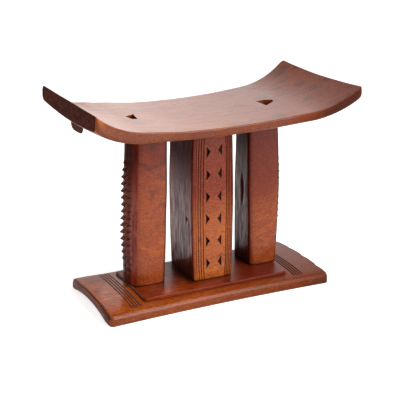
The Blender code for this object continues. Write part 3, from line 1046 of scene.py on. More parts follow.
SEAT_WOOD = WoodFinish(
    "seat_stain",
    light=(0.46, 0.115, 0.011),
    middle=(0.370, 0.086, 0.009),
    dark=(0.13, 0.016, 0.004),
    dark_to=0.47,
    fleck=(0.09, 0.0030, 0.016),
    fleck_strength=0.55,
    speckle=0.32,
    specular=0.1,
    coat=0.46,
    coat_roughness=0.29,
    smudge=0.65,
    ends=EndGrain(mottle=FINE_MOTTLE, roughness=0.85, coat=0.0, bump=2.0),
    shade=Shade(Axis.X, (-0.20, 0.26), (0.130, 0.012, 0.004), share=0.74, dull=0.3),
    # Painted shade on the long sides, deeper towards the right end.
    sides=PaintedSideShade((0.125, 0.021, 0.005), 0.82, darker=0.72, dull=0.95),
)
LUG_WOOD = WoodFinish(
    "lug_stain",
    light=(0.09, 0.020, 0.010),
    middle=(0.07, 0.015, 0.008),
    dark=(0.04, 0.008, 0.005),
    roughness=0.6,
    coat=0.15,
    ends=EndGrain(mottle=FINE_MOTTLE, roughness=0.8, coat=0.0),
    shift=1.0,
)
LEFT_WOOD = WoodFinish(
    "left_column_stain",
    light=(0.46, 0.103, 0.012),
    middle=(0.320, 0.053, 0.006),
    specular=0.05,
    coat=0.68,
    smudge=0.3,
    ends=EndGrain((0.30, 0.030, 0.009), (0.18, 0.016, 0.006), coat=0.62, facing=0.50),
    # Darker towards the head: stain and painted shade under the seat.
    shade=Shade(Axis.Z, (0.17, 0.35), (0.190, 0.015, 0.006)),
    heart=Heart(-0.116, 0.336),
    painted_end_shade=PaintedEndShade((0.19, 0.31), foot=(0.008, 0.02)),
    shift=2.0,
)
CENTRE_WOOD = WoodFinish(
    "centre_stain",
    light=(0.55, 0.140, 0.013),
    middle=(0.390, 0.082, 0.008),
    specular=0.05,
    coat=0.68,
    ends=EndGrain((0.22, 0.016, 0.006), (0.12, 0.010, 0.005), coat=0.72),
    # Darker towards the head: stain and painted shade under the seat.
    shade=Shade(Axis.Z, (0.13, 0.25), (0.155, 0.011, 0.005)),
    painted_end_shade=PaintedEndShade((0.21, 0.31)),
    shift=3.0,
)
RIGHT_WOOD = WoodFinish(
    "right_column_stain",
    light=(0.38, 0.080, 0.011),
    middle=(0.250, 0.043, 0.006),
    specular=0.05,
    coat=0.58,
    ends=EndGrain((0.17, 0.012, 0.005), (0.07, 0.006, 0.004), coat=0.72),
    # Darker towards the head: stain and painted shade under the seat.
    shade=Shade(Axis.Z, (0.13, 0.27), (0.115, 0.010, 0.005)),
    painted_end_shade=PaintedEndShade((0.22, 0.34)),
    shift=6.0,
)
PLINTH_WOOD = WoodFinish(
    "plinth_stain",
    light=(0.36, 0.060, 0.005),
    middle=(0.190, 0.020, 0.002),
    dark=(0.08, 0.006, 0.001),
    dark_to=0.49,
    fleck=(0.05, 0.0028, 0.0011),
    fleck_strength=0.8,
    roughness=0.38,
    specular=0.1,
    coat=0.08,
    coat_roughness=0.06,
    shade=Shade(Axis.X, (-0.10, 0.13), (0.100, 0.007, 0.002)),
    # Painted shade on the long sides.
    sides=PaintedSideShade((0.16, 0.018, 0.002), 0.3),
    shift=4.0,
)
BASE_WOOD = WoodFinish(
    "base_stain",
    light=(0.48, 0.105, 0.010),
    middle=(0.320, 0.058, 0.006),
    dark=(0.10, 0.011, 0.002),
    light_from=0.48,
    fleck=(0.012, 0.0016, 0.0011),
    fleck_strength=0.65,
    specular=0.12,
    coat=0.30,
    coat_roughness=0.10,
    ends=EndGrain((0.15, 0.026, 0.010), (0.08, 0.012, 0.006), mottle=FINE_MOTTLE, coat=0.05),
    shade=Shade(Axis.X, (-0.20, 0.27), (0.100, 0.015, 0.003), dull=0.85),
    # Painted shade on the long sides, deeper towards the right end.
    sides=PaintedSideShade((0.15, 0.028, 0.004), 0.4, darker=0.55, dull=0.8),
    shift=5.0,
)


# Seat


@dataclass(frozen=True)
class Rise:
    """A rise that comes in from one place towards the left end and fades again further on."""

    height: float
    start: float
    reach: float
    fade_start: float
    fade_reach: float
    fade: float = 1.0

    def at(self, x: Array) -> Array:
        """Gives height * ease(a) * (1 - fade * ease(b)), a and b from 0 to 1 over each reach."""
        fading = 1 - self.fade * ease((self.fade_start - x) / self.fade_reach)
        return self.height * ease((self.start - x) / self.reach) * fading


@dataclass
class Seat:
    """The saddle seat: a shallow arc with tighter bends at its ends, waisted, with a full belly."""

    finish: WoodFinish
    length: float = 0.566
    left_width: float = 0.312
    right_width: float = 0.318
    waist_width: float = 0.268
    waist_x: float = -0.045
    height: float = 0.380
    left_sag: float = 0.0578
    right_sag: float = 0.0540
    rise_to_right: float = 0.0053
    right_dish: float = 0.0055
    middle_radius: float = 1.815
    bend_start: float = 0.175
    edge_depth: float = 0.0176
    thicker_to_right: float = 0.0010
    left_end_depth: float = 0.0290
    right_end_depth: float = 0.0225
    belly: float = 0.008
    end_overhang: float = 0.0024
    front_lift: Rise = Rise(0.0030, -0.09, 0.09, -0.22, 0.063, fade=0.58)
    back_lift: Rise = Rise(0.0022, -0.09, 0.07, -0.19, 0.05)
    back_dip: Bell = Bell(0.0058, -0.235, 0.026)
    corner_radius: float = 0.009
    end_arris: float = 0.0020
    edge_radii: tuple[float, ...] = (0.0075, 0.0028, 0.0028, 0.0075)
    left_end_radii: tuple[float, ...] = (0.013, 0.012, 0.004, 0.011)
    right_end_radii: tuple[float, ...] = (0.008, 0.004, 0.003, 0.011)
    wear_power: int = 6
    top_drift: Drift = Drift(0.0005, 1.0)
    edge_drift: Drift = Drift(0.0008, 2.0)
    # A painted highlight along the top arris; a darker arris at the ends and the left bend.
    edge_wear_and_highlight: float = 0.12
    end_edge_darkening: float = 0.6
    bend_edge_darkening: Bell = Bell(0.45, -0.22, 0.045)
    edge_share: float = 0.02
    knock: Bell = Bell(1.1, -0.274, 0.010)
    knock_fade: float = 1.5
    left_pit: Outline = (
        (-0.1644, 0.0013),
        (-0.1387, 0.0225),
        (-0.148, -0.0233),
        (-0.1599, -0.0197),
    )
    right_pit: Outline = (
        (0.1319, 0.0094),
        (0.1512, 0.0081),
        (0.1643, -0.0024),
        (0.1611, -0.0146),
        (0.1336, -0.033),
    )
    pit_depth: float = 0.011
    pit_mouth: float = -0.006
    pit_taper: float = 0.06
    pit_rounding: float = 0.0014
    pit_steps: int = 4
    pit_dirt_and_shade: float = 0.38
    ribs: int = 200
    bend_ribs: int = 40
    face_steps: Steps = (70, 5, 90, 5)

    def bend_share(self, x: Array) -> Array:
        """Gives how far into its bend each place is, 0 at the start and 1 at the seat's end."""
        return np.clip(np.abs(x) - self.bend_start, 0, None) / (self.length / 2 - self.bend_start)

    def end_depth(self, x: Array) -> Array:
        """Gives the thickness of the edge at the end on this side of the middle."""
        return np.where(x < 0, self.left_end_depth, self.right_end_depth)

    def top(self, x: Array) -> Array:
        """Gives the height of the top along its middle line.

        Args:
            x: Places along the seat.

        Returns:
            R - sqrt(R^2 - x^2), then a tighter arc tangent to it, and a tilt.
        """
        run = np.abs(x)
        start = math.asin(self.bend_start / self.middle_radius)
        start_rise = self.middle_radius * (1 - math.cos(start))
        remaining = self.length / 2 - self.bend_start
        climb = np.where(x < 0, self.left_sag, self.right_sag) - start_rise
        end = 2 * np.arctan(climb / remaining) - start
        radius = remaining / (np.sin(end) - math.sin(start))
        inner = np.minimum(run, self.bend_start)
        shallow = self.middle_radius - np.sqrt(self.middle_radius**2 - inner**2)
        angle = np.arcsin(np.clip(run - self.bend_start, 0, None) / radius + math.sin(start))
        bend = start_rise + radius * (math.cos(start) - np.cos(angle))
        rise = np.where(run <= self.bend_start, shallow, bend)
        return self.height + self.rise_to_right * x / self.length + rise

    def half_width(self, x: Array) -> Array:
        """Gives half the width in plan.

        Args:
            x: Places along the seat.

        Returns:
            Half the waist's width and more, growing with the cube of the distance from it.
        """
        away = x - self.waist_x
        end = np.where(away < 0, self.left_width, self.right_width)
        whole = self.length / 2 + np.where(away < 0, self.waist_x, -self.waist_x)
        return (self.waist_width + (end - self.waist_width) * (np.abs(away) / whole) ** 3) / 2

    def depth(self, x: Array, y: Array) -> Array:
        """Gives the thickness straight down: the edge's, and the belly's parabola across."""
        belly = self.belly * (1 - (y / self.half_width(x)) ** 2)
        return self.edge(x) + belly + np.clip(self.lift(x, y), 0, None)

    def lift(self, x: Array, y: Array) -> Array:
        """Gives the left part's twist: its front stands higher, its back dips before the end.

        Args:
            x: Places along the seat.
            y: Places across it.

        Returns:
            How much higher the seat is, going evenly from its front to its back.
        """
        front = self.front_lift.at(x)
        back = self.back_lift.at(x) - self.back_dip.at(x)
        share = (1 + np.clip(y / self.half_width(x), -1, 1)) / 2
        return front + (back - front) * share

    def edge(self, x: Array) -> Array:
        """Gives the thickness of the long edges.

        Args:
            x: Places along the seat.

        Returns:
            The thickness, growing with the fourth power of the distance from the middle.
        """
        reach = np.abs(x) / (self.length / 2)
        middle = self.edge_depth + self.thicker_to_right * x / self.length
        return middle + (self.end_depth(x) - middle) * reach**4

    def placed(self, x: Array, y: Array, depth: Array) -> Array:
        """Places points below the top.

        Args:
            x: Places along the seat.
            y: Places across it.
            depth: How far below the top they are.

        Returns:
            The points; in the bends, depth leans outwards a little.
        """
        across = 1 - (y / self.half_width(x)) ** 2
        dish = np.where(x < 0, 0, self.right_dish) * self.bend_share(x) ** 2 * across
        lean = self.end_overhang / (self.end_depth(x) + self.belly) * self.bend_share(x)
        z = self.top(x) + self.lift(x, y) - dish - depth
        return np.stack((x + np.sign(x) * lean * depth, y, z), axis=-1)

    def underside(self, x: Array, y: Array) -> Array:
        """Gives the height of the underside."""
        return self.placed(x, y, self.depth(x, y))[..., 2]

    def rings(self) -> tuple[Array, Array]:
        """Draws the seat as rounded sections along X, closed by sections that shrink to a line.

        Returns:
            The points, and how much they are darkened, or brightened by rubbing and painted
            highlight.
        """
        end = self.length / 2
        turn = np.sin(np.linspace(0, np.pi / 2, ARRIS_STEPS + 2))
        corner = end - self.corner_radius * (1 - turn)
        bend = np.linspace(self.bend_start, corner[0], self.bend_ribs)[:-1]
        middle_ribs = self.ribs - 2 * self.bend_ribs
        middle = np.linspace(-self.bend_start, self.bend_start, middle_ribs)[1:-1]
        right = np.concatenate((bend, corner))
        open_x = np.concatenate((-right[::-1], middle, right))
        inset = lost_to_rounding(np.abs(open_x), end, self.end_arris)
        inset = np.pad(inset, CLOSING_STEPS, constant_values=self.end_arris)
        x, shrink = closed_ends(open_x)
        return self.sections(x[:, None], inset[:, None], shrink[:, None])

    def sections(self, x: Array, inset: Array, shrink: Array) -> tuple[Array, Array]:
        """Draws sections across the seat.

        Args:
            x: Place of each section.
            inset: How far its outline is drawn in.
            shrink: From 0 to 1, how far it has shrunk to the line at half its thickness.

        Returns:
            Points as sections, points of a section, and x, y, z; and how much they are darkened, or
            brightened by rubbing and painted highlight.
        """
        shares = even_shares(self.face_steps)
        lost = lost_to_rounding(np.abs(x), self.length / 2, self.corner_radius)
        half = self.half_width(x) - lost
        thick = self.edge(x) / 2
        loop = rounded_loop(self.edge_radii, shares)
        middle_y, middle_up = loop.at(half, thick)
        across, up = middle_y, middle_up
        for radii, here in ((self.left_end_radii, x < 0), (self.right_end_radii, x > 0)):
            end_y, end_up = rounded_loop(radii, shares).at(half, thick)
            worn = self.bend_share(x) ** self.wear_power * here
            across, up = across + (end_y - middle_y) * worn, up + (end_up - middle_up) * worn
        across, up = across * (1 - inset / half), up * (1 - inset / thick) * (1 - shrink)
        share = (thick - up) / (2 * thick)
        along = x + np.zeros_like(across)
        points = self.placed(along, across, share * self.depth(along, across))
        points[..., 2] -= np.abs(self.top_drift.at(along, across)) * (share < 0.5)
        points[..., 1] -= np.sign(across) * np.abs(self.edge_drift.at(along, across))
        return points, self.edge_darkening_and_highlight(along, across, share, loop.face)

    def edge_darkening_and_highlight(self, x: Array, y: Array, share: Array, face: Whole) -> Array:
        """Darkens the top's arris at the ends and the left bend, brightens it with a painted
        highlight, and wears its edge bright where it was knocked.

        Args:
            x: Places along the seat.
            y: Places across it.
            share: From 0 on the top to 1 on the underside.
            face: Which face of its section a point is on.

        Returns:
            How recessed or worn each point is.
        """
        top_edge = (face < 0) * (share < 0.5)
        on_end = self.length / 2 - np.abs(x) < self.end_arris
        dirt_shade_and_highlight = np.where(on_end, self.end_edge_darkening, -self.edge_wear_and_highlight) * top_edge
        dirt_shade_and_highlight = dirt_shade_and_highlight + self.bend_edge_darkening.at(x) * top_edge * (share > self.edge_share)
        knocked = self.knock.at(x) * (y < 0) * (face != Face.BACK)
        shallow = np.clip(1 - self.knock_fade * share, 0, 1)
        return dirt_shade_and_highlight - knocked * shallow * (self.length / 2 + x > self.end_arris)

    def pit(self, corners: Outline) -> Array:
        """Gives the two rings of a pit cut from above the top to its floor.

        Args:
            corners: The pit's corners in plan.

        Returns:
            The rings, their corners softened.
        """
        ring = rounded_polygon(np.array(corners), self.pit_rounding, self.pit_steps)
        inner = ring + self.pit_taper * (ring.mean(axis=0) - ring)
        floor = self.placed(inner[:, 0], inner[:, 1], np.full(len(ring), self.pit_depth))
        mouth = self.placed(ring[:, 0], ring[:, 1], np.full(len(ring), self.pit_mouth))
        return np.stack((floor, mouth))

    def build(self) -> bpy.types.Object:
        """Makes and dresses the seat.

        Returns:
            The piece.
        """
        piece = carved_piece("seat", *self.rings())
        pits = prism("pits", [self.pit(self.left_pit), self.pit(self.right_pit)])
        # The pits' floors are darkened with grime and painted shade.
        carve(piece, pits, self.pit_dirt_and_shade)
        return dress(piece, "seat", self.finish)


@dataclass
class Lug:
    """A rounded grip lug under one end of the seat."""

    name: str
    outward: int
    seat: Seat
    finish: WoodFinish
    width: float = 0.043
    thickness: float = 0.009
    drop: float = 0.015
    inset: float = 0.0205
    corner_radius: float = 0.0115
    arris: float = 0.0025
    overlap: float = 0.002
    corner_steps: int = 8
    middle_steps: int = 14
    face_steps: Steps = (6, 6, 6, 6)

    def rings(self) -> Array:
        """Draws slices across the lug: rounded below, square where they meet the seat.

        Returns:
            The points, the first and last slice shrunk to a line.
        """
        turn = np.sin(np.linspace(0, np.pi / 2, self.corner_steps))
        corner = self.width / 2 - self.corner_radius * (1 - turn)
        middle = np.linspace(-corner[0], corner[0], self.middle_steps)[1:-1]
        y = np.pad(np.concatenate((-corner[::-1], middle, corner)), 1, mode="edge")
        foot = self.drop - lost_to_rounding(np.abs(y), self.width / 2, self.corner_radius)
        open_slices = np.pad(np.ones(len(y) - 2), 1)
        y, foot, scale = y[:, None], foot[:, None], open_slices[:, None]
        loop = rounded_loop([self.arris] * 4, even_shares(self.face_steps))
        across = (loop.wide * self.thickness / 2 + loop.in_x) * scale
        upper = (loop.deep + 1) / 2 * (self.drop + self.overlap)
        level = upper + loop.in_y * (loop.deep < 0)
        low = foot - level * foot / self.drop
        x = self.outward * (self.seat.length / 2 - self.inset) + across
        y = y + np.zeros_like(x)
        return self.seat.placed(x, y, self.seat.depth(x, y) + low)

    def build(self) -> bpy.types.Object:
        """Makes and dresses the lug."""
        return dress(carved_piece(self.name, self.rings()), self.name, self.finish)


# Columns


@dataclass(frozen=True)
class SideFace:
    """How a side face of a column departs from a flat upright one."""

    swell: float
    bow: float = 0.0
    turn_at_foot: float = 0.0
    turn_at_head: float = 0.0

    def stands_out(self, across: Array, up: Array) -> Array:
        """Gives how far the face stands out.

        Args:
            across: From -1 at the front to 1 at the back.
            up: From 0 at the foot to 1 at the head.

        Returns:
            Swell 4u(1-u) + bow (1-a^2) + half the turn times a.
        """
        turn = self.turn_at_foot + (self.turn_at_head - self.turn_at_foot) * up
        return self.swell * 4 * up * (1 - up) + self.bow * (1 - across**2) + turn / 2 * across


@dataclass(frozen=True)
class Dent:
    """A long hollow in a side face: its middle, half length up, half width across and depth."""

    y: float
    z: float
    half_length: float
    half_width: float
    depth: float
    bend: float = 0.0
    bluntness: float = 1.05

    def at(self, y: Array, z: Array) -> Array:
        """Gives its depth.

        Args:
            y: Places across the face.
            z: Heights.

        Returns:
            Depth (1 - u^2)(1 - a^2)^2, for a across and u up, round a line bent by b u^2.
        """
        up = np.clip((z - self.z) / self.half_length, -1, 1)
        half_width = self.half_width * (self.bluntness - up**2)
        across = np.clip((y - self.y - self.bend * up**2) / half_width, -1, 1)
        return self.depth * (1 - up**2) * (1 - across**2) ** 2


@dataclass
class Column:
    """A barrel-sided column that stands on the plinth and fits the seat's belly."""

    name: str
    slot: str
    seat: Seat
    finish: WoodFinish
    foot_x: float
    head_x: float
    foot_width: float
    head_width: float
    depth: float
    depth_swell: float
    left: SideFace
    right: SideFace
    radii: tuple[float, float, float, float]
    dents: tuple[Dent, ...] = ()
    dent_dirt_and_shade: float = 0.7
    darkest_dent_depth: float = 0.003
    line_y: float = 0.015
    foot: float = 0.0318
    head: float = 0.3544
    sink: float = 0.0006
    crown: float = 0.0012
    bow_reach: float = 0.6
    drift_size: float = 0.0005
    drift_turn: float = 1.0
    drift_in_depth: float = 0.6
    trim_level: float = 0.330
    foot_levels: tuple[float, ...] = (0.001, 0.0025)
    even_from: float = 0.005
    even_levels: int = 60
    head_shares: tuple[float, ...] = (0.25, 0.5, 0.75, 0.85, 0.93, 0.97, 1.0)
    front_steps: int = 20
    side_steps: int = 24
    contact_dirt_and_shade_reach: float = 0.004
    arris_painted_shade: float = 0.70
    arris_reach: float = 0.007

    def levels(self) -> Array:
        """Gives the heights of the rings.

        Returns:
            Those below the trimmed head, closer together at the foot.
        """
        near = self.foot + np.array((-self.sink, *self.foot_levels))
        even = np.linspace(self.foot + self.even_from, self.trim_level, self.even_levels)
        return np.concatenate((near, even))

    def face_shares(self) -> tuple[Array, ...]:
        """Gives the places along each face."""
        return even_shares((self.front_steps, self.side_steps) * 2)

    def relief(self, x: Array, y: Array, z: Array, on: Whole) -> tuple[Array, Array, Array]:
        """Carves the faces.

        Args:
            x: Places across the column, from its middle line.
            y: Places from its front to its back, from its middle line.
            z: Heights.
            on: Which face a point is on.

        Returns:
            How far points move along X and along Y, and how much grime and painted shade darken
            them.
        """
        # Dents are darkened with grime and painted shade.
        dented = sum((dent.at(y, z) for dent in self.dents), np.zeros_like(x)) * (on == Face.LEFT)
        return dented, np.zeros_like(y), np.clip(dented / self.darkest_dent_depth, 0, 1) * self.dent_dirt_and_shade

    def rings(self) -> tuple[Array, Array]:
        """Draws the column level by level, then lets its head follow the belly of the seat.

        Returns:
            The points, and how recessed they are.
        """
        loop = rounded_loop(self.radii, self.face_shares())
        low, heads = self.levels(), np.array(self.head_shares)
        trimmed = self.trim_level + heads * (self.head - self.trim_level)
        level = np.concatenate((low, trimmed))[:, None]
        up = np.clip((level - self.foot) / (self.head - self.foot), 0, 1)
        middle = self.foot_x + (self.head_x - self.foot_x) * up
        half = (self.foot_width + (self.head_width - self.foot_width) * up) / 2
        deep = (self.depth + self.depth_swell * 4 * up * (1 - up)) / 2
        x, y = loop.at(half, deep)
        z = level + np.zeros_like(x)
        on = np.broadcast_to(loop.face, x.shape)
        front_or_back = np.abs(loop.deep) == 1
        # Painted shade on the rounded right arris of the front and back faces.
        shadow = np.clip(1 - (half - x) / self.arris_reach, 0, 1) * ((on < 0) | front_or_back)
        reach = np.clip(np.abs(x) / (half * self.bow_reach), 0, 1)
        left, right = (face.stands_out(y / deep, up) for face in (self.left, self.right))
        side = np.where(x < 0, left, right)
        crown = self.crown * np.clip(1 - (x / half) ** 2, 0, 1)
        y = y + np.sign(y) * crown * front_or_back
        relief_x, relief_y, dirt_shade_and_highlight = self.relief(x, y, z, on)
        drift = Drift(self.drift_size, self.drift_turn).at(z, x + y)
        x = middle + x + np.sign(x) * (reach * side + drift) + relief_x
        y = self.line_y + y + np.sign(y) * drift * self.drift_in_depth + relief_y
        under = self.seat.underside(x, y) + self.sink
        blend = np.concatenate((np.zeros_like(low), heads))[:, None]
        z = np.where(blend > 0, self.trim_level + blend * (under - self.trim_level), z)
        # Grime and painted shade along the joints with the plinth and the seat.
        corner = np.clip(1 - np.minimum(under - z, z - self.foot) / self.contact_dirt_and_shade_reach, 0, 1)
        dirt_shade_and_highlight = np.maximum(np.maximum(dirt_shade_and_highlight, corner), self.arris_painted_shade * shadow)
        dirt_shade_and_highlight = np.pad(dirt_shade_and_highlight, ((1, 1), (0, 0)), mode="edge")
        return shut(np.stack((x, y, z), axis=-1)), dirt_shade_and_highlight

    def build(self) -> bpy.types.Object:
        """Makes, cuts and dresses the column.

        Returns:
            The piece.
        """
        piece = carved_piece(self.name, *self.rings())
        self.cut(piece)
        return dress(piece, self.name, self.finish)

    def cut(self, piece: bpy.types.Object) -> None:
        """Cuts what the grid can't show; a plain column has nothing of the kind."""


@dataclass
class ToothedColumn(Column):
    """An outer column with two rows of pyramid teeth and a groove down its outer face."""

    crown: float = 0.0030
    front_steps: int = 24
    outer: Face = Face.LEFT
    tooth_count: int = 18
    tooth_pitch: float = 0.0146
    first_rise: float = 0.0215
    tooth_breadth: float = 0.0175
    tooth_height: float = 0.0108
    tooth_length: float = 0.0115
    tooth_steps: int = 9
    flat_tip: float = 0.93
    uneven: float = 0.12
    uneven_turns: Span = (7.1, 2.9)
    end_length: float = 0.0010
    longest_level: float = 0.182
    toothed_reach: float = 0.118
    steps_below: int = 4
    steps_above: int = 6
    groove_width: float = 0.003
    groove_depth: float = 0.002
    # Grime and painted shade between the teeth, less on their tips.
    gap_dirt_and_shade: float = 0.58
    tip_dirt_and_shade: float = 0.42
    dirt_and_shade_fade: float = 0.001

    def levels(self) -> Array:
        """Gives the heights of the rings.

        Returns:
            Those of the foot, flanks and tip of every tooth, and plain ones below and above.
        """
        middles = self.foot + self.first_rise + self.tooth_pitch * np.arange(self.tooth_count)
        flanks = self.tooth_height / 2 * np.linspace(-1, 1, self.tooth_steps)
        teeth = (middles[:, None] + flanks[None, :]).reshape(-1)
        below = np.linspace(self.foot - self.sink, teeth[0], self.steps_below)[:-1]
        above = np.linspace(teeth[-1], self.trim_level, self.steps_above)[1:]
        return np.concatenate((below, teeth, above))

    def face_shares(self) -> tuple[Array, ...]:
        """Gives the places along each face.

        Returns:
            Evenly spread ones, but those of the teeth and the groove on the outer face.
        """
        straight = self.depth / 2 - 0.5 * (self.radii[Face.LEFT] + self.radii[Face.BACK])
        rows = self.groove_width / 2 + self.tooth_breadth * np.linspace(0, 1, self.tooth_steps)
        marks = mirrored(0.5 + place / (2 * straight) for place in (0, *rows))
        shares = list(super().face_shares())
        shares[self.outer] = shares_with(2, marks)
        return tuple(shares)

    def relief(self, x: Array, y: Array, z: Array, on: Whole) -> tuple[Array, Array, Array]:
        """Adds the teeth and the groove.

        A tooth stands out by its length (1 - max(|dy| / half breadth, |dz| / half height)).

        Args:
            x: Places across the column, from its middle line.
            y: Places from its front to its back, from its middle line.
            z: Heights.
            on: Which face a point is on.

        Returns:
            How far points move along X and along Y, and how much grime and painted shade darken
            them.
        """
        dented, still, dirt_shade_and_highlight = super().relief(x, y, z, on)
        nearest = np.round((z - self.foot - self.first_rise) / self.tooth_pitch)
        index = np.clip(nearest, 0, self.tooth_count - 1)
        middle = self.foot + self.first_rise + index * self.tooth_pitch
        row = (self.groove_width + self.tooth_breadth) / 2
        by_index, by_row = self.uneven_turns
        uneven = 1 + self.uneven * np.sin(by_index * index + by_row * np.sign(y))
        away = (middle - self.longest_level) / self.toothed_reach
        swell = np.sqrt(np.clip(1 - away**2, 0, 1))
        length = (self.end_length + (self.tooth_length - self.end_length) * swell) * uneven
        across = np.abs(np.abs(y) - row) / (self.tooth_breadth / 2)
        flank = np.maximum(across, np.abs(z - middle) / (self.tooth_height / 2))
        raised = length * np.clip(1 - flank, 0, self.flat_tip)
        groove = v_cuts(y, (0.0,), self.groove_width, self.groove_depth)
        # Grime and painted shade between the teeth, less on their tips.
        row_end = self.groove_width / 2 + self.tooth_breadth + self.dirt_and_shade_fade
        rows = np.clip((row_end - np.abs(y)) / self.dirt_and_shade_fade, 0, 1)
        dirt_and_shade = rows * (self.gap_dirt_and_shade - self.tip_dirt_and_shade * raised / self.tooth_length)
        on_outer = on == self.outer
        outward = 1 if self.outer is Face.RIGHT else -1
        moved = dented + outward * (raised - groove) * on_outer
        return moved, still, np.maximum(dirt_shade_and_highlight, dirt_and_shade * on_outer)


@dataclass
class NotchedColumn(Column):
    """The centre column, with fine grooves and two rows of chip-cut notches front and back."""

    side_steps: int = 30
    front_steps: int = 16
    left_grooves: tuple[float, ...] = (0.0066, 0.0118, 0.0170, 0.0222)
    right_grooves: tuple[float, ...] = (0.0055, 0.0093, 0.0131, 0.0169)
    groove_width: float = 0.0026
    groove_depth: float = 0.0015
    groove_dirt_and_shade: float = 0.65
    notch_count: int = 6
    notch_pitch: float = 0.0483
    notch_rise: float = 0.036
    notch_height: float = 0.024
    notch_reach: float = 0.009
    notch_edge_depth: float = 0.0030
    notch_depth: float = 0.0055
    notch_spread: float = 0.0175
    notch_mouth: float = 0.004
    notch_drift: float = 0.0012
    notch_turns: Span = (5.3, 2.1)
    notch_rounding: float = 0.0008
    notch_steps: int = 2
    notch_dirt_and_shade: float = 0.8

    def grooves(self) -> Array:
        """Gives the places of the grooves.

        Returns:
            Those of the left and the right bundle, from the middle.
        """
        half = self.foot_width / 2
        left, right = np.array(self.left_grooves), np.array(self.right_grooves)
        return np.concatenate((left - half, half - right))

    def face_shares(self) -> tuple[Array, ...]:
        """Gives the places along each face.

        Returns:
            Evenly spread ones, with the edges and bottoms of the grooves front and back.
        """
        half, side = self.foot_width / 2, shares_with(self.side_steps)
        flanks = self.groove_width / 2 * np.array((-1, -0.5, 0, 0.5, 1))
        edges = (self.grooves()[:, None] + flanks).reshape(-1)
        start = self.radii[Face.LEFT]
        straight = self.foot_width - start - self.radii[Face.FRONT]
        marks = [(edge + half - start) / straight for edge in edges]
        front = shares_with(self.front_steps, [mark for mark in marks if 0 < mark < 1])
        return front, side, np.sort(1 - front), side

    def relief(self, x: Array, y: Array, z: Array, on: Whole) -> tuple[Array, Array, Array]:
        """Adds the grooves front and back.

        Args:
            x: Places across the column, from its middle line.
            y: Places from its front to its back, from its middle line.
            z: Heights.
            on: Which face a point is on.

        Returns:
            How far points move along X and along Y, and how much grime and painted shade darken
            them.
        """
        dented, _, dirt_shade_and_highlight = super().relief(x, y, z, on)
        broad = (on == Face.FRONT) | (on == Face.BACK)
        cut = v_cuts(x, self.grooves(), self.groove_width, self.groove_depth)
        # Grime and painted shade in the grooves.
        dirt_and_shade = self.groove_dirt_and_shade * cut * broad / self.groove_depth
        return dented, -np.sign(y) * cut * broad, np.maximum(dirt_shade_and_highlight, dirt_and_shade)

    def cut(self, piece: bpy.types.Object) -> None:
        """Cuts the notches, front and back, left and right, from the foot up.

        Args:
            piece: The column to cut.
        """
        shapes = [
            self.notch(facing, side, index)
            for facing in (-1, 1)
            for side in (-1, 1)
            for index in range(self.notch_count)
        ]
        # The notches' floors are darkened with grime and painted shade.
        carve(piece, prism("notches", shapes), self.notch_dirt_and_shade)

    def notch(self, facing: int, side: int, index: int) -> Array:
        """Draws one notch, shallow at its upright outer edge and deepest at its inward tip.

        Args:
            facing: -1 on the front, 1 on the back.
            side: -1 in the left row, 1 in the right row.
            index: Which notch of the row it is, from the foot up.

        Returns:
            Its two rings, above the face and along its slanting floor.
        """
        by_index, by_side = self.notch_turns
        uneven = self.notch_drift * math.sin(by_index * index + by_side * side + facing)
        face_y = self.line_y + facing * (self.depth / 2 + self.crown)
        z = self.foot + self.notch_rise + index * self.notch_pitch + uneven
        edge_x = self.foot_x + side * (self.notch_spread + 0.5 * uneven)
        tip_x = edge_x - side * self.notch_reach
        half = self.notch_height / 2
        corners = np.array(((edge_x, z - half), (edge_x, z + half), (tip_x, z)))
        ring = rounded_polygon(corners, self.notch_rounding, self.notch_steps)
        share = (ring[:, 0] - edge_x) / (tip_x - edge_x)
        cut = self.notch_edge_depth + (self.notch_depth - self.notch_edge_depth) * share
        mouth = np.full(share.shape, face_y + facing * self.notch_mouth)
        ends = (mouth, face_y - facing * cut)
        return np.stack([np.stack((ring[:, 0], y, ring[:, 1]), axis=-1) for y in ends])


# Foot


@dataclass(frozen=True)
class Footprint:
    """Where a column stands on the plinth, and how far grime and painted shade reach round it."""

    x: float
    half_width: float
    half_depth: float
    reach: float


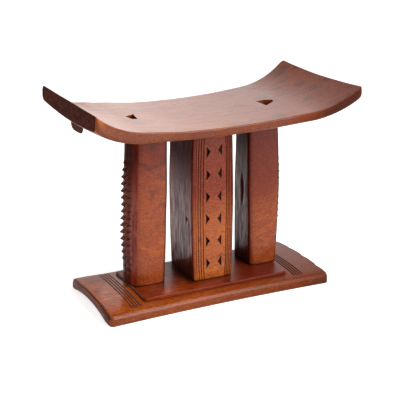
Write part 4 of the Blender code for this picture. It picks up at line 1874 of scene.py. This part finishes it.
@dataclass
class Plinth:
    """The slab under the columns, let into the crown of the base."""

    finish: WoodFinish
    length: float = 0.329
    width: float = 0.162
    top: float = 0.0318
    bottom: float = 0.0215
    corner_radius: float = 0.007
    arris: float = 0.0022
    top_drift: Drift = Drift(0.0004, 7.0)
    edge_drift: Drift = Drift(0.0006, 6.0)
    drift_reach: float = 0.02
    side_steps: int = 4
    top_steps: int = 40
    top_from: float = 0.004
    face_steps: Steps = (90, 40, 90, 40)
    feet_y: float = 0.015
    feet: tuple[Footprint, ...] = (
        Footprint(-0.126, 0.0325, 0.034, 0.007),
        Footprint(0.0, 0.046, 0.061, 0.012),
        Footprint(0.1393, 0.0317, 0.034, 0.007),
    )
    # Grime and painted shade round the feet, painted shade low on the sides, and a painted
    # highlight on the top arris.
    foot_dirt_and_shade: float = 0.62
    low_painted_shade: float = 0.55
    low_share: float = 0.6
    worn_highlight_middle: float = 0.4

    def dirt_and_shade(self, x: Array, y: Array) -> Array:
        """Darkens the top round the columns with grime and painted shade.

        Args:
            x: Places along the plinth.
            y: Places across it.

        Returns:
            Darkening (1 - d / reach), where d is the distance to the nearest foot's rectangle.
        """
        grime_and_shade = np.zeros_like(x)
        for foot in self.feet:
            beside = np.abs(x - foot.x) - foot.half_width
            away = np.maximum(beside, np.abs(y - self.feet_y) - foot.half_depth)
            grime_and_shade = np.maximum(grime_and_shade, self.foot_dirt_and_shade * np.clip(1 - away / foot.reach, 0, 1))
        return grime_and_shade

    def rings(self) -> tuple[Array, Array]:
        """Draws rounded rectangles up the side, over the arris and in to the middle line.

        Returns:
            The points, and how much grime and painted shade darken them or rubbing and a painted
            highlight brighten them.
        """
        half = self.width / 2
        loop = rounded_loop([self.corner_radius] * 4, even_shares(self.face_steps))
        turn = np.linspace(0, np.pi / 2, ARRIS_STEPS + 2)
        over = self.arris * (1 - np.cos(turn))
        level = self.top - self.arris * (1 - np.sin(turn))
        side = np.linspace(self.bottom, level[0], self.side_steps)[:-1]
        inner = np.linspace(self.top_from, half, self.top_steps)
        inward = np.concatenate(((half,), np.zeros_like(side), over, inner))[:, None]
        z = np.concatenate(((self.bottom,), side, level, np.full(len(inner), self.top)))[:, None]
        x, y = loop.at(self.length / 2, half)
        x = np.sign(x) * np.clip(np.abs(x) - inward, 0, None)
        y = np.sign(y) * np.clip(np.abs(y) - inward, 0, None)
        z = z + np.zeros_like(x)
        edge = np.clip(1 - inward / self.drift_reach, 0, 1)
        y = y - np.sign(y) * edge * np.abs(self.edge_drift.at(x, y))
        z = z - np.abs(self.top_drift.at(x, y)) * (z > self.top - self.arris)
        # A painted highlight, partly rubbing, along the top arris.
        past = np.abs(inward - self.worn_highlight_middle * self.arris) / self.arris
        worn = np.clip(1 - past, 0, 1) * (inward > 0)
        # Painted shade low on the sides.
        low = np.clip(1 - (z - self.bottom) / (self.low_share * (self.top - self.bottom)), 0, 1)
        grime_and_shade = self.dirt_and_shade(x, y) * (inward > self.arris)
        return np.stack((x, y, z), axis=-1), np.maximum(self.low_painted_shade * low - worn, grime_and_shade)

    def build(self) -> bpy.types.Object:
        """Makes and dresses the plinth."""
        return dress(carved_piece("plinth", *self.rings()), "plinth", self.finish)


@dataclass(frozen=True)
class Nick:
    """A bite out of the right end of the base: its middle, its half width and its depth."""

    y: float
    breadth: float
    depth: float

    def at(self, y: Array) -> Array:
        """Gives depth (1 - ((y - middle) / breadth)^2), where that is above 0."""
        return self.depth * np.clip(1 - ((y - self.y) / self.breadth) ** 2, 0, 1)


@dataclass
class Base:
    """The plank at the foot: a crowned top, fine grooves across its ends, and an arch below."""

    finish: WoodFinish
    plinth: Plinth
    length: float = 0.508
    width: float = 0.2255
    waist: float = 0.007
    side_height: float = 0.0185
    crown: float = 0.0095
    arch_rise: float = 0.0115
    foot_width: float = 0.011
    corner_radius: float = 0.012
    side_arris: float = 0.008
    end_arris: float = 0.008
    end_undercut: float = 0.0075
    foot_arris: float = 0.0018
    nicks: tuple[Nick, ...] = (
        Nick(0.048, 0.010, 0.0022),
        Nick(-0.009, 0.012, 0.0026),
        Nick(-0.066, 0.012, 0.0024),
    )
    nick_reach: float = 0.014
    groove_count: int = 4
    groove_pitch: float = 0.0062
    groove_width: float = 0.0036
    groove_depth: float = 0.0022
    groove_margin: float = 0.013
    groove_fade: float = 0.012
    rim: float = 0.0042
    rim_ribs: Span = (3.5, 2.9)
    rim_steps: int = 4
    rim_darkening: float = 0.80
    rim_drift: Drift = Drift(0.0014, 10.0)
    rim_waves: float = 3
    joint_dirt_and_shade: float = 0.7
    joint_reach: float = 0.0035
    joint_pitch: float = 0.001
    joint_ribs: int = 4
    side_drift: Drift = Drift(0.0008, 9.0)
    side_drift_from: float = 0.006
    top_drift: Drift = Drift(0.0006, 8.0)
    upper_share: float = 0.8
    ribs_between: int = 120
    corner_steps: int = 15
    groove_ribs: int = 7
    arris_steps: int = 12
    crown_steps: int = 90
    arch_steps: int = 61
    foot_steps: int = 6

    def grooves(self) -> Array:
        """Gives the places of the grooves.

        Returns:
            Those across the left end and those across the right end.
        """
        first = self.plinth.length / 2 + self.groove_margin
        right = first + self.groove_pitch * np.arange(self.groove_count)
        return np.concatenate((-right, right))

    def ribs(self) -> Array:
        """Gives the places of the ribs along X.

        Returns:
            Evenly spread ones, with those of the corners, the grooves and the plinth's ends.
        """
        end = self.length / 2
        turn = np.sin(np.linspace(0, np.pi / 2, self.corner_steps))
        rim = end - self.rim * np.linspace(*self.rim_ribs, self.rim_steps)
        corner = ordered(rim, end - self.corner_radius * (1 - turn))
        flanks = self.groove_width / 2 * np.linspace(-1, 1, self.groove_ribs)
        cuts = (self.grooves()[:, None] + flanks).reshape(-1)
        plain = np.linspace(-corner[0], corner[0], self.ribs_between)
        steps = np.arange(-self.joint_ribs, self.joint_ribs + 1)
        beside = self.plinth.length / 2 + self.joint_pitch * steps
        return ordered(-corner, plain, cuts, beside, -beside, corner)

    def rings(self) -> tuple[Array, Array]:
        """Draws the plank's sections along X and closes its ends by shrinking them to a line."""
        x, shrink = closed_ends(self.ribs())
        return self.sections(x[:, None], shrink[:, None])

    def top(self, y: Array, half: Array, lowered: Array) -> Array:
        """Gives the height of the crown.

        Args:
            y: Places across the plank.
            half: Half its width.
            lowered: How far the rounded end has lowered it.

        Returns:
            Side height + crown sqrt(1 - (y/h)^2), less its rounded long edges.
        """
        crown = self.side_height + self.crown * np.sqrt(np.clip(1 - (y / half) ** 2, 0, 1))
        rounded = crown - lost_to_rounding(np.abs(y), half, self.side_arris)
        return rounded * (1 - lowered / (self.side_height + self.crown))

    def sections(self, x: Array, shrink: Array) -> tuple[Array, Array]:
        """Draws sections across the plank.

        Args:
            x: Place of each section.
            shrink: From 0 to 1, how far it has shrunk to the line at half its thickness.

        Returns:
            Points as sections, points of a section, and x, y, z; and how much they are darkened.
        """
        end, run = self.length / 2, np.abs(x)
        lowered = lost_to_rounding(run, end, self.end_arris)
        lift = lost_to_rounding(run, end, self.end_undercut)
        waist = self.waist * (1 - (x / end) ** 2)
        half = self.width / 2 - waist - lost_to_rounding(run, end, self.corner_radius) - lowered
        crown_y, cut = self.crown_line(x, half)
        under_y, under_z = self.arch_line(half, lift)
        y = np.concatenate((crown_y, under_y), axis=1)
        z = np.concatenate((self.top(crown_y, half, lowered) - cut, under_z), axis=1)
        arch = lift + self.arch_rise * np.clip(1 - (y / (half - self.foot_width)) ** 2, 0, 1)
        z = z + ((self.top(y, half, lowered) + arch) / 2 - z) * shrink
        near_end = np.clip((x - end + self.nick_reach) / self.nick_reach, 0, 1)
        along = x + np.zeros_like(y)
        for nick in self.nicks:
            along = along - near_end * nick.at(y)
        rising = np.clip(z / self.side_drift_from, 0, 1)
        y = y - np.sign(y) * np.abs(self.side_drift.at(along, z)) * rising
        upper = self.side_height * self.upper_share
        z = z - np.abs(self.top_drift.at(along, y)) * (z > upper) * (1 - shrink)
        dirt_shade_and_highlight = np.zeros_like(y)
        # Grime and painted shade in the grooves and along the joint with the plinth; a darker rim
        # at the ends.
        dirt_shade_and_highlight[:, : cut.shape[1]] = cut / self.groove_depth
        dirt_shade_and_highlight = np.maximum(dirt_shade_and_highlight, self.grime_and_shade(along, y) * (z > upper))
        return np.stack((along, y, z), axis=-1), dirt_shade_and_highlight

    def crown_line(self, x: Array, half: Array) -> tuple[Array, Array]:
        """Lays out the top of each section, from one edge to the other.

        Args:
            x: Place of each section.
            half: Half its width.

        Returns:
            Places across the plank, and how deep the grooves are there.
        """
        turn = np.linspace(np.pi / 2, 0, self.arris_steps)
        edge = half - self.side_arris * (1 - np.sin(turn))
        middle = np.linspace(1, -1, self.crown_steps)[1:-1] * edge[:, -1:]
        y = np.concatenate((edge, middle, -edge[:, ::-1]), axis=1)
        along = x + np.zeros_like(y)
        cut = v_cuts(along, self.grooves(), self.groove_width, self.groove_depth)
        inside = half - np.abs(y) - self.groove_fade
        return y, cut * np.clip(inside / self.groove_fade, 0, 1)

    def arch_line(self, half: Array, lift: Array) -> tuple[Array, Array]:
        """Lays out the underside of each section: foot, arch and foot.

        Args:
            half: Half the width of the section.
            lift: How far it is above the floor.

        Returns:
            Places across the plank, and heights; the arch is its rise times 1 - (y/h)^2.
        """
        place = np.linspace(-1, 1, self.arch_steps)
        arch_y = (half - self.foot_width) * place
        arch_z = lift + self.arch_rise * (1 - place**2)
        turn = np.linspace(0, np.pi / 2, self.foot_steps)
        foot_y = half - self.foot_arris * (1 - np.cos(turn))
        foot_z = lift + self.foot_arris * (1 - np.sin(turn))
        y = np.concatenate((-foot_y, arch_y, foot_y[:, ::-1]), axis=1)
        return y, np.concatenate((foot_z, arch_z, foot_z[:, ::-1]), axis=1)

    def grime_and_shade(self, x: Array, y: Array) -> Array:
        """Darkens the top beside the plinth with grime and painted shade, and along the rim of the
        ends.

        Args:
            x: Places along the plank.
            y: Places across it.

        Returns:
            How much each place of the top is darkened.
        """
        beside = np.maximum(np.abs(x) - self.plinth.length / 2, np.abs(y) - self.plinth.width / 2)
        joint = self.joint_dirt_and_shade * np.clip(1 - np.abs(beside) / self.joint_reach, 0, 1)
        drift = self.rim_drift.at(x, self.rim_waves * y)
        away = self.length / 2 - np.abs(x) - self.rim - drift
        return np.maximum(joint, self.rim_darkening * np.clip(1 - np.abs(away) / self.rim, 0, 1))

    def build(self) -> bpy.types.Object:
        """Makes and dresses the base."""
        return dress(carved_piece("base", *self.rings()), "base", self.finish)


# Room


def hang(
    thing: bpy.types.Object, target: Vector, azimuth: float, elevation: float, distance: float
) -> None:
    """Hangs a lamp or the camera in the scene, looking at a target.

    Args:
        thing: The lamp or camera.
        target: What it looks at.
        azimuth: Degrees round from the front, positive to the right.
        elevation: Degrees above the floor.
        distance: Distance from the target.
    """
    turn, lift = math.radians(azimuth), math.radians(elevation)
    across, forward, up = math.sin(turn), -math.cos(turn), math.sin(lift)
    back = Vector((across * math.cos(lift), forward * math.cos(lift), up))
    thing.location = target + back * distance
    thing.rotation_euler = (-back).to_track_quat("-Z", "Y").to_euler()
    bpy.context.scene.collection.objects.link(thing)


@dataclass(frozen=True)
class Lamp:
    """A soft square lamp that looks at the stool from an azimuth and an elevation in degrees."""

    name: str
    azimuth: float
    elevation: float
    distance: float
    size: float
    watts: float

    def build(self, target: Vector) -> None:
        """Hangs the lamp.

        Args:
            target: What it looks at.
        """
        light = bpy.data.lights.new(self.name, "AREA")
        light.size = self.size
        light.energy = self.watts
        lamp = bpy.data.objects.new(self.name, light)
        lamp.visible_camera = False
        hang(lamp, target, self.azimuth, self.elevation, self.distance)


@dataclass
class Studio:
    """The white floor and surroundings, the lamps, and the camera at the photograph's angle."""

    target: Vector = field(default_factory=lambda: Vector((-0.002, 0, 0.1919)))
    azimuth: float = -26.31
    elevation: float = 18.722
    distance: float = 2.116
    lens_mm: float = 91.494
    sensor_mm: float = 36
    floor_size: float = 30.0
    floor_colour: float = 0.80
    far_colour: float = 0.98
    far_span: Span = (0.9, 2.4)
    floor_glow: float = 0.66
    floor_mirrored: float = 0.45
    dome_strength: float = 0.35
    dome_mirrored: float = 1.0
    ceiling_mirrored: float = 0.12
    ceiling_span: Span = (0.25, 0.70)
    lamps: tuple[Lamp, ...] = (
        Lamp("key", 32, 28, 2.2, 1.3, 42),
        Lamp("high", 52, 58, 2.2, 0.9, 17),
        Lamp("left", -95, 32, 2.2, 1.2, 9),
        Lamp("back", 150, 20, 1.5, 0.9, 3.5),
    )

    def build(self) -> None:
        """Sets up the room."""
        self.place_camera()
        self.lay_floor()
        self.light_dome()
        for lamp in self.lamps:
            lamp.build(self.target)
        bpy.context.scene.view_settings.view_transform = "Standard"

    def place_camera(self) -> None:
        """Puts the camera where the photograph was taken from."""
        lens = bpy.data.cameras.new("camera")
        lens.sensor_width = self.sensor_mm
        lens.lens = self.lens_mm
        camera = bpy.data.objects.new("camera", lens)
        hang(camera, self.target, self.azimuth, self.elevation, self.distance)
        bpy.context.scene.camera = camera

    def lay_floor(self) -> None:
        """Lays a matt floor that glows for the camera and in reflections, and keeps the shadow."""
        half = self.floor_size / 2
        corners = [(-half, -half, 0), (half, -half, 0), (half, half, 0), (-half, half, 0)]
        mesh = bpy.data.meshes.new("floor")
        mesh.from_pydata(corners, [], [(0, 1, 2, 3)])
        shader = Shader("floor_white")
        length = {"operation": "LENGTH"}
        away = shader.value("ShaderNodeVectorMath", length, {0: shader.place}, "Value")
        near, far = (self.floor_colour,) * 3, (self.far_colour,) * 3
        shader.drive(Socket.COLOUR, shader.mix(away.step(*self.far_span), near, far))
        shader.fix("Roughness", 1)
        shader.fix("Specular IOR Level", 0)
        strength = shader.seen(self.floor_glow, self.floor_mirrored)
        lit = {"Color": (1.0, 1.0, 1.0), "Strength": strength}
        glow = shader.node("ShaderNodeEmission", {}, lit).outputs[0]
        both = shader.node("ShaderNodeAddShader", {}, {0: shader.main.outputs[0], 1: glow})
        shader.feed(shader.tree.nodes["Material Output"].inputs["Surface"], both.outputs[0])
        mesh.materials.append(shader.material)
        add_object("floor", mesh)

    def light_dome(self) -> None:
        """Surrounds the stool with a soft dome that is plain white where it is seen."""
        world = bpy.data.worlds.new("dome")
        world.use_nodes = True
        bpy.context.scene.world = world
        nodes = Nodes(world.node_tree)
        height = nodes.along(nodes.node("ShaderNodeTexCoord").outputs["Generated"], Axis.Z)
        fade = height.step(*self.ceiling_span) * (self.dome_mirrored - self.ceiling_mirrored)
        mirrored = self.dome_mirrored - self.dome_strength - fade
        background = nodes.tree.nodes["Background"]
        background.inputs["Color"].default_value = (1, 1, 1, 1)
        strength = nodes.seen(1 - self.dome_strength, mirrored) + self.dome_strength
        nodes.feed(background.inputs["Strength"], strength)


def columns(seat: Seat) -> list[Column]:
    """Lists the left, centre and right column.

    Args:
        seat: The seat that they carry.

    Returns:
        The columns.
    """
    left = ToothedColumn(
        name="left_column",
        slot="column_wood",
        seat=seat,
        finish=LEFT_WOOD,
        foot_x=-0.1260,
        head_x=-0.1149,
        foot_width=0.0650,
        head_width=0.0633,
        depth=0.068,
        depth_swell=0.003,
        left=SideFace(0.0018, bow=0.007),
        right=SideFace(0.0018),
        radii=(0.003, 0.003, 0.004, 0.011),
        drift_turn=0.622,
        outer=Face.LEFT,
        arris_painted_shade=0.85,
        arris_reach=0.009,
    )
    centre = NotchedColumn(
        name="centre_column",
        slot="centre_wood",
        seat=seat,
        finish=CENTRE_WOOD,
        foot_x=0.0065,
        head_x=0.0065,
        foot_width=0.0855,
        head_width=0.0855,
        depth=0.122,
        depth_swell=0.0,
        left=SideFace(0.0035, turn_at_foot=-0.003, turn_at_head=-0.003),
        right=SideFace(0.0035),
        radii=(0.003, 0.003, 0.003, 0.007),
        drift_turn=1.0195,
        dents=(
            Dent(-0.030, 0.160, 0.011, 0.004, 0.0025),
            Dent(0.045, 0.120, 0.004, 0.003, 0.002),
        ),
    )
    right = ToothedColumn(
        name="right_column",
        slot="column_wood",
        seat=seat,
        finish=RIGHT_WOOD,
        foot_x=0.1393,
        head_x=0.1371,
        foot_width=0.0634,
        head_width=0.0648,
        depth=0.068,
        depth_swell=0.003,
        left=SideFace(0.0013, turn_at_foot=0.0035, turn_at_head=-0.0070),
        right=SideFace(0.0055, bow=0.007),
        radii=(0.003, 0.003, 0.003, 0.009),
        drift_turn=1.4179,
        dents=(Dent(-0.004, 0.198, 0.044, 0.0080, 0.0032, bend=0.003),),
        outer=Face.RIGHT,
    )
    return [left, centre, right]


def main() -> None:
    """Builds the stool piece by piece and then the room around it."""
    logging.basicConfig(level=logging.INFO, format="%(name)s %(message)s")
    log.info("%d solids in the frame", len(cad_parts))
    seat = Seat(SEAT_WOOD)
    lugs = [Lug("left_grip_lug", -1, seat, LUG_WOOD), Lug("right_grip_lug", 1, seat, LUG_WOOD)]
    plinth = Plinth(PLINTH_WOOD)
    for part in (seat, *lugs, *columns(seat), plinth, Base(BASE_WOOD, plinth)):
        piece = part.build()
        log.info("%s: %d faces", piece.name, len(piece.data.polygons))
    Studio().build()


if __name__ == "__main__":
    main()
